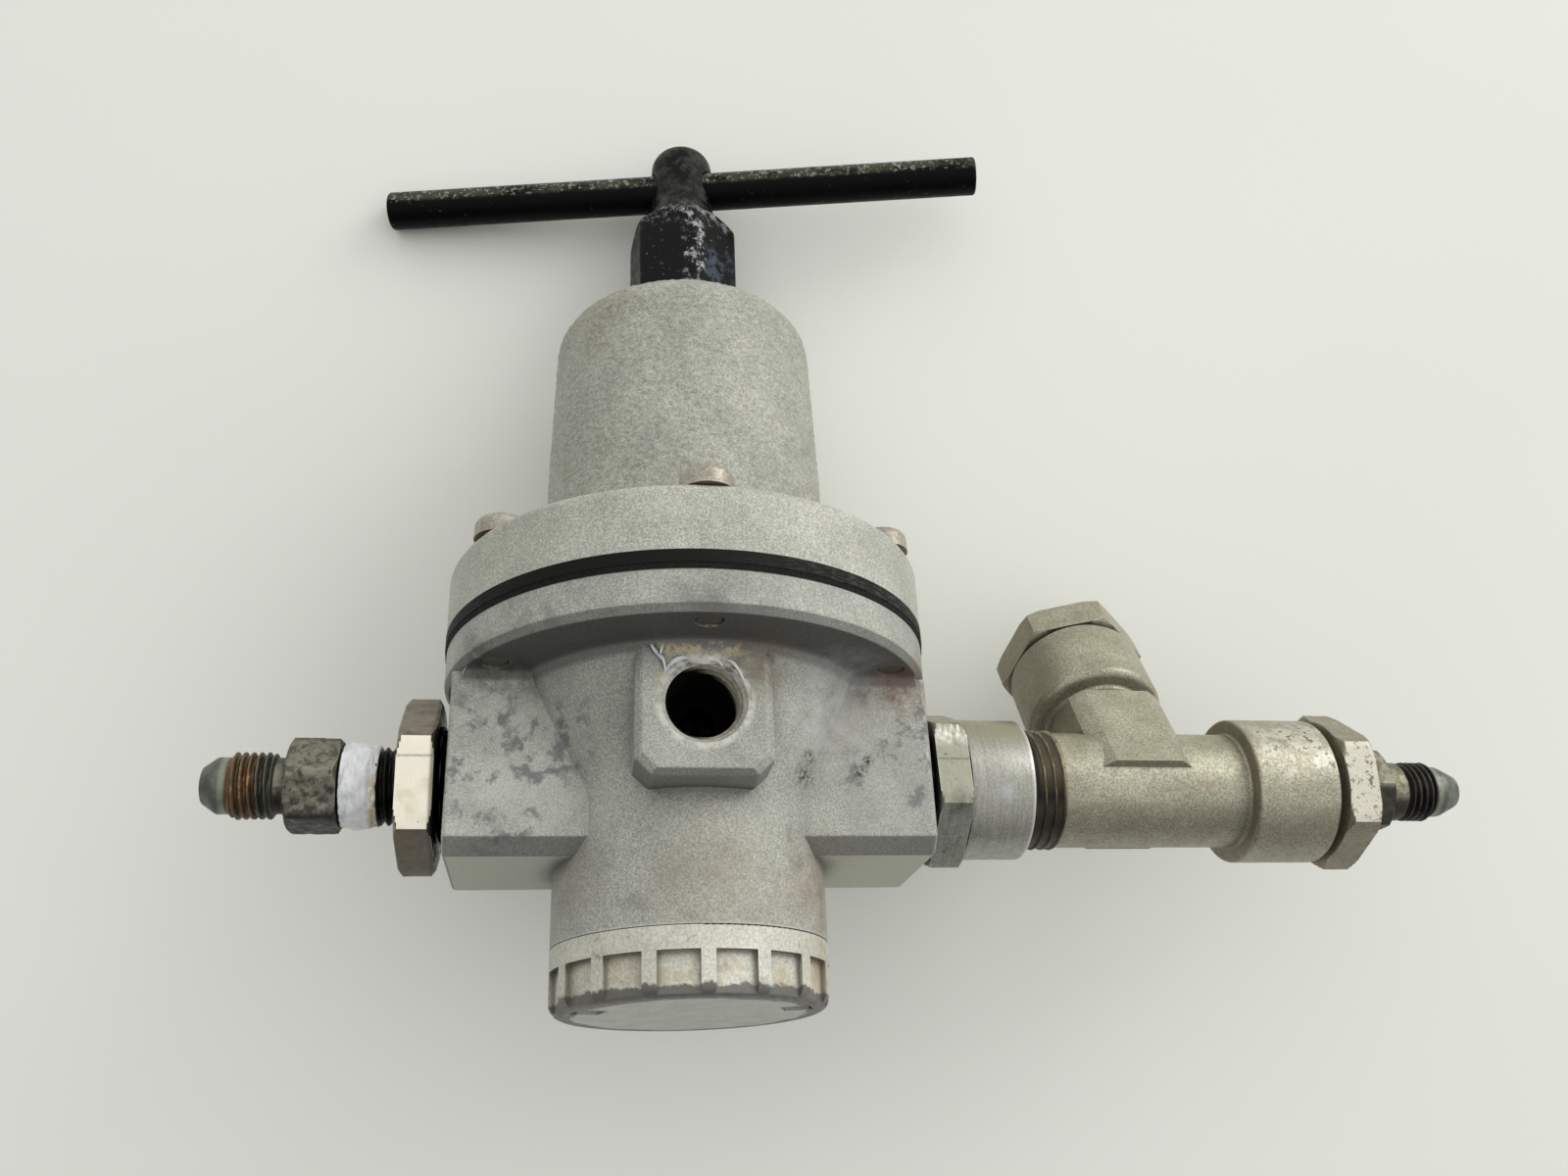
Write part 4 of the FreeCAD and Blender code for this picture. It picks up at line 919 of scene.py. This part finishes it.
def branch_plug():
    """Hexagon plug in the tee's leaning branch."""
    tilt = math.radians(29.7)
    branch = Vector((0, math.sin(tilt), math.cos(tilt)))
    tee = Vector((81.2 * MM, 0, PORT.z))
    turn = math.radians(13.5)
    first = OUTLET * math.cos(turn) + branch.cross(OUTLET) * math.sin(turn)
    hex_bushing("branch_plug", "tee_branch_plug", "dull_nickel", branch, 21.6 * MM, (34.4 * MM, 40.9 * MM),
                LARGE_HEX, first, base=tee, blind=True)


def adapter_collar():
    """Machined adapter: hexagon against the body, plain collar, pipe threads at both ends."""
    tail, end = span("outlet_adapter", 0)
    low, high = 41.9 * MM, 47.7 * MM
    collar = 12.5 * MM
    outline = rounded([
        *pipe_tail(tail, low, 8.0 * MM), *hex_outline(low, high, LARGE_HEX, 0.9 * MM),
        (high + 0.05 * MM, collar - 0.35 * MM),
        (high + 0.35 * MM, collar), (end, collar, 0.35 * MM), (end, PIPE_R + 0.35 * MM),
        (end - 0.9 * MM, PIPE_R - 0.5 * MM), (end - 12 * MM, PIPE_R - 0.5 * MM), (end - 12 * MM, 8.0 * MM)])
    outline = cut_pipe_tail(outline, tail, (low, high))
    chewed = PORT + OUTLET * (high - 1.5 * MM) + around_x(-28) * (LARGE_HEX / 2)

    def shape(x, angle, radius):
        if radius < PIPE_R - 0.85 * MM:
            return radius
        if x < low:
            return radius - 0.9 * MM * groove(x, angle, LARGE_PIPE_PITCH)
        if x > high or radius < PIPE_R + 0.4 * MM:
            return radius
        point = PORT + OUTLET * x + around_x(5 + math.degrees(angle)) * (LARGE_HEX / 2)
        bite = max(1 - (point - chewed).length / (4 * MM), 0) * (0.5 + noise.noise(point / (0.8 * MM)))
        return min(radius, hexagon_radius(angle, LARGE_HEX)) - 0.6 * MM * max(bite, 0)

    lathe("adapter_collar", "turned_aluminium", outline, PORT, OUTLET, around_x(5), shape, 0.02 * MM,
          "outlet_adapter")


def tee_thread():
    """The stretch of the tee's male thread that stands out of the adapter."""
    low, high = 58.8 * MM, 65.6 * MM
    inner, crest = 9.0 * MM, PIPE_R + 0.4 * MM
    outline = divided(rounded([(low, inner), (low, crest), (high, crest), (high, inner)]),
                      [(low, high, 0.13 * MM, PIPE_R)])

    def shape(x, angle, radius):
        if radius < PIPE_R:
            return radius
        start = min(max((x - low - 0.6 * MM) / (1.6 * MM), 0.0), 1.0)
        depth = 1.3 * MM * fade(x, -1.0, high, 0.8 * MM)
        return radius - 0.9 * MM * (1 - start) - depth * groove(x, angle, LARGE_PIPE_PITCH, 0.1) ** 0.6

    lathe("tee_male_thread", "dull_nickel", outline, PORT, OUTLET, FRONT, shape, 0.04 * MM,
          finish=THREAD_FINISH)


def wound_tape():
    """Tape wound over the pipe thread in loose folds, thicker in the middle, with ragged edges."""
    low, high = -span("inlet_tape", 0)[1] - 0.3 * MM, -span("inlet_tape", 0)[0] + 0.1 * MM
    outer = span("inlet_tape", 2)[1] - PORT.z
    outline = rounded([(low, SMALL_PIPE_R - 0.6 * MM), (low, outer - 0.35 * MM, 0.2 * MM),
                       (high, outer - 0.1 * MM, 0.3 * MM), (high, SMALL_PIPE_R - 0.6 * MM)])
    outline = divided(outline, [(low, high, 0.14 * MM, SMALL_PIPE_R)])

    def shape(x, angle, radius):
        if radius < SMALL_PIPE_R:
            return radius
        around = Vector((0, math.cos(angle), math.sin(angle)))
        ridge = 0.12 * MM * groove(x, angle, SMALL_PIPE_PITCH, 0.05)
        folds = 0.5 * MM * noise.noise(around * 2.4 + Vector((x / (1.5 * MM), 0, 0)))
        creases = 0.22 * MM * abs(noise.noise(around * 5.5 + Vector((x / (0.6 * MM), 4, 0))))
        edge = fade(x, low, high, 0.9 * MM)
        torn = 0.7 * MM * max(noise.noise(around * 5 + Vector((x / MM, 5, 5))), 0) * (1 - edge)
        bulge = 0.4 * MM * edge * fade(x, low, high, 2.6 * MM)
        return radius - ridge + (folds - creases) * edge - torn + bulge

    lathe("wound_tape", "sealing_tape", outline, PORT, INLET, FRONT, shape, 0.06 * MM, "inlet_tape",
          segments=160, grain=0.8 * MM, sharp=60)


def gauge_thread():
    """Thread inside the open gauge port."""
    low, high = GAUGE_FACE - 11.6 * MM, GAUGE_FACE - 0.75 * MM
    inner, wall = 6.1 * MM, 0.4 * MM
    outline = divided(rounded([(low, inner), (low, inner + wall), (high, inner + wall), (high, inner)]),
                      [(low, high, 0.14 * MM, 0)])

    def shape(x, angle, radius):
        if radius > inner:
            return radius
        return radius - 0.6 * MM * groove(x, angle, SMALL_PIPE_PITCH) * fade(x, low, high, 0.8 * MM)

    lathe("gauge_port_thread", "cast_body", outline, GAUGE, FRONT, UP, shape, 0.04 * MM, finish=BORE_FINISH)


def shred(name, points, width):
    """Torn scrap of tape: a thin curled ribbon through (right of bore, above bore, off face) points in mm."""
    spots = [GAUGE + Vector((x * MM, -GAUGE_FACE - out * MM, z * MM)) for x, z, out in points]
    count = 6 * (len(spots) - 1)
    line = []
    for k in range(count + 1):
        t = k / count * (len(spots) - 1)
        i = min(int(t), len(spots) - 2)
        before, after = spots[max(i - 1, 0)], spots[min(i + 2, len(spots) - 1)]
        u = t - i
        slope_a, slope_b = (spots[i + 1] - before) / 2, (after - spots[i]) / 2
        line.append(spots[i] * (2 * u ** 3 - 3 * u ** 2 + 1) + slope_a * (u ** 3 - 2 * u ** 2 + u)
                    + spots[i + 1] * (3 * u ** 2 - 2 * u ** 3) + slope_b * (u ** 3 - u ** 2))
    vertices = []
    for k, spot in enumerate(line):
        ahead = (line[min(k + 1, count)] - line[max(k - 1, 0)]).normalized()
        across = ahead.cross(FRONT).normalized()
        twist = math.sin(k * 0.7) * 0.5
        across = (across + FRONT * twist).normalized()
        half = width / 2 * (1 - 0.7 * abs(2 * k / count - 1) ** 3)
        half *= 1 + 0.3 * noise.noise(spot / (0.7 * MM))
        lift = ahead.cross(across).normalized() * 0.06 * MM
        vertices += [spot - across * half - lift, spot + across * half - lift, spot + across * half + lift,
                     spot - across * half + lift]
    faces = [(0, 1, 2, 3), tuple(4 * count + i for i in (3, 2, 1, 0))]
    for k in range(count):
        for i in range(4):
            j = (i + 1) % 4
            faces.append((4 * k + i, 4 * k + j, 4 * k + 4 + j, 4 * k + 4 + i))
    new_piece(name, vertices, faces, "sealing_tape", sharp=50)


def tape_shreds():
    """Scraps of tape left round the gauge port's mouth."""
    for name, width, points in (
            ("rim", 0.7, ((-6.4, 4.6, 0.1), (-4.6, 6.6, 0.3), (-1.6, 7.4, 0.15), (1.6, 6.8, 0.4),
                          (2.9, 5.9, 0.1))),
            ("curl", 0.55, ((-8.8, 10.2, 0.1), (-8.2, 8.6, 0.5), (-7.4, 7.6, 0.2), (-6.6, 6.6, 0.5),
                            (-6.2, 5.0, 0.1))),
            ("hook", 0.4, ((-5.6, 10.6, 0.1), (-6.6, 9.0, 0.6), (-7.0, 7.6, 0.3))),
            ("right", 0.45, ((3.2, 7.0, 0.1), (4.6, 6.2, 0.5), (5.6, 4.8, 0.2), (6.4, 3.2, 0.1)))):
        shred("tape_shred_" + name, points, width * MM)


bonnet_casting()
flare_adapter("inlet_flare_fitting", "inlet_flare_adapter", "zinc_flare", INLET, (58.2 * MM, 66.4 * MM),
              INLET_THREAD, 33, 67.0 * MM, 0.3 * MM)
flare_adapter("outlet_flare_fitting", "outlet_flare_adapter", "dark_flare", OUTLET, (125.0 * MM, 131.0 * MM),
              OUTLET_THREAD, 25, 134.8 * MM, 0.1 * MM)
hex_bushing("inlet_hex_bushing", "inlet_bushing", "bright_nickel", INLET, -span("inlet_bushing", 0)[1],
            (42.2 * MM, 48.2 * MM), 26.0 * MM, around_x(47))
hex_bushing("outlet_hex_bushing", "outlet_bushing", "dull_nickel", OUTLET, span("outlet_bushing", 0)[0],
            (117.9 * MM, 124.1 * MM), LARGE_HEX, around_x(-8), finish=BUSHING_FINISH)
branch_plug()
adapter_collar()
tee_thread()
wound_tape()
gauge_thread()
tape_shreds()


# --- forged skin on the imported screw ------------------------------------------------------
def soft_skin(node, grain):
    """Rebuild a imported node's surface with slightly blunt edges, as forging leaves it."""
    weld = nodes[node].modifiers.new("weld", "WELD")
    weld.merge_threshold = 0.002 * MM
    remesh = nodes[node].modifiers.new("skin", "REMESH")
    remesh.mode = "VOXEL"
    remesh.voxel_size = grain
    remesh.use_smooth_shade = True
    smooth = nodes[node].modifiers.new("blunt", "SMOOTH")
    smooth.factor = 0.5
    smooth.iterations = 3


soft_skin("adjusting_screw", 0.42 * MM)


# --- stage, light and camera --------------------------------------------------------------
TABLE_NORMAL = Vector((-0.084, -1.0, -0.334)).normalized()
TABLE_OFFSET = 67.9 * MM / Vector((0.084, 1.0, 0.334)).length


def table():
    """Pale table top behind the regulator, which lies on its back; seen from its front side only."""
    mesh = bpy.data.meshes.new("table")
    spot = -TABLE_NORMAL * TABLE_OFFSET
    across = UP.cross(TABLE_NORMAL).normalized()
    rise = TABLE_NORMAL.cross(across)
    half = 2.5
    corners = [spot + (across * sx + rise * sz) * half for sx, sz in ((-1, -1), (1, -1), (1, 1), (-1, 1))]
    mesh.from_pydata(corners, [], [(0, 1, 2, 3)])
    obj = bpy.data.objects.new("table", mesh)
    bpy.context.scene.collection.objects.link(obj)
    f = Finish("table_top", (251, 252, 246), metallic=0.0, roughness=0.6)
    f.clouds(250, 0.97, 1.0, 3.0)
    f.done()
    behind = f.node("ShaderNodeNewGeometry").outputs["Backfacing"]
    clear = f.node("ShaderNodeBsdfTransparent").outputs[0]
    mixed = f.node("ShaderNodeMixShader", {0: behind, 1: f.shader.outputs[0], 2: clear})
    f.tree.links.new(mixed.outputs[0], f.tree.nodes["Material Output"].inputs["Surface"])
    mesh.materials.append(f.material)


def softbox(place, target, size, power):
    """Square area light aimed at a point."""
    lamp = bpy.data.lights.new("key", "AREA")
    lamp.size = size
    lamp.energy = power
    lamp.color = (1.0, 1.0, 0.97)
    obj = bpy.data.objects.new("key", lamp)
    obj.location = place
    obj.rotation_mode = "QUATERNION"
    obj.rotation_quaternion = (Vector(target) - Vector(place)).to_track_quat("-Z", "Y")
    bpy.context.scene.collection.objects.link(obj)


def world():
    """Pale room, brightest in front, above and to the right, and one plain tone where the camera sees it."""
    room = bpy.data.worlds.new("room")
    bpy.context.scene.world = room
    room.use_nodes = True
    tree = room.node_tree
    toward = add_node(tree, "ShaderNodeTexCoord").outputs["Generated"]
    brightest = Vector((0.40, -0.75, 0.50)).normalized()
    aligned = add_node(tree, "ShaderNodeVectorMath", {0: toward, 1: brightest}, operation="DOT_PRODUCT")
    light = add_node(tree, "ShaderNodeMapRange", {"Value": aligned.outputs["Value"], "From Min": -0.75,
                                                  "From Max": 0.95, "To Min": 0.08, "To Max": 1.02},
                     interpolation_type="SMOOTHSTEP").outputs[0]
    seen = add_node(tree, "ShaderNodeLightPath").outputs["Is Camera Ray"]
    strength = add_node(tree, "ShaderNodeMix", {0: seen, 2: light, 3: 0.72}).outputs[0]
    background = tree.nodes["Background"]
    tree.links.new(strength, background.inputs["Strength"])
    background.inputs["Color"].default_value = (1.0, 1.0, 0.975, 1.0)


def camera():
    """Pinhole camera below and in front of the regulator, looking up at the gauge port."""
    yaw, pitch, roll = 0.1762, 0.4324, -0.0449
    ahead = Vector((math.sin(yaw) * math.cos(pitch), math.cos(yaw) * math.cos(pitch), math.sin(pitch)))
    level = Vector((math.cos(yaw), -math.sin(yaw), 0))
    over = level.cross(ahead)
    right = math.cos(roll) * level + math.sin(roll) * over
    top = -math.sin(roll) * level + math.cos(roll) * over
    data = bpy.data.cameras.new("camera")
    data.lens = 30.375
    data.sensor_width = 36.0
    data.clip_start = 0.01
    obj = bpy.data.objects.new("camera", data)
    turn = Matrix((right, top, -ahead)).transposed().to_4x4()
    obj.matrix_world = Matrix.Translation((-0.0212886, -0.2244292, -0.0277788)) @ turn
    bpy.context.scene.collection.objects.link(obj)
    bpy.context.scene.camera = obj


table()
softbox((1.35, -1.2, 0.95), (0.02, 0, 0.08), 0.9, 9.0)
world()
camera()
bpy.context.scene.view_settings.view_transform = "Standard"
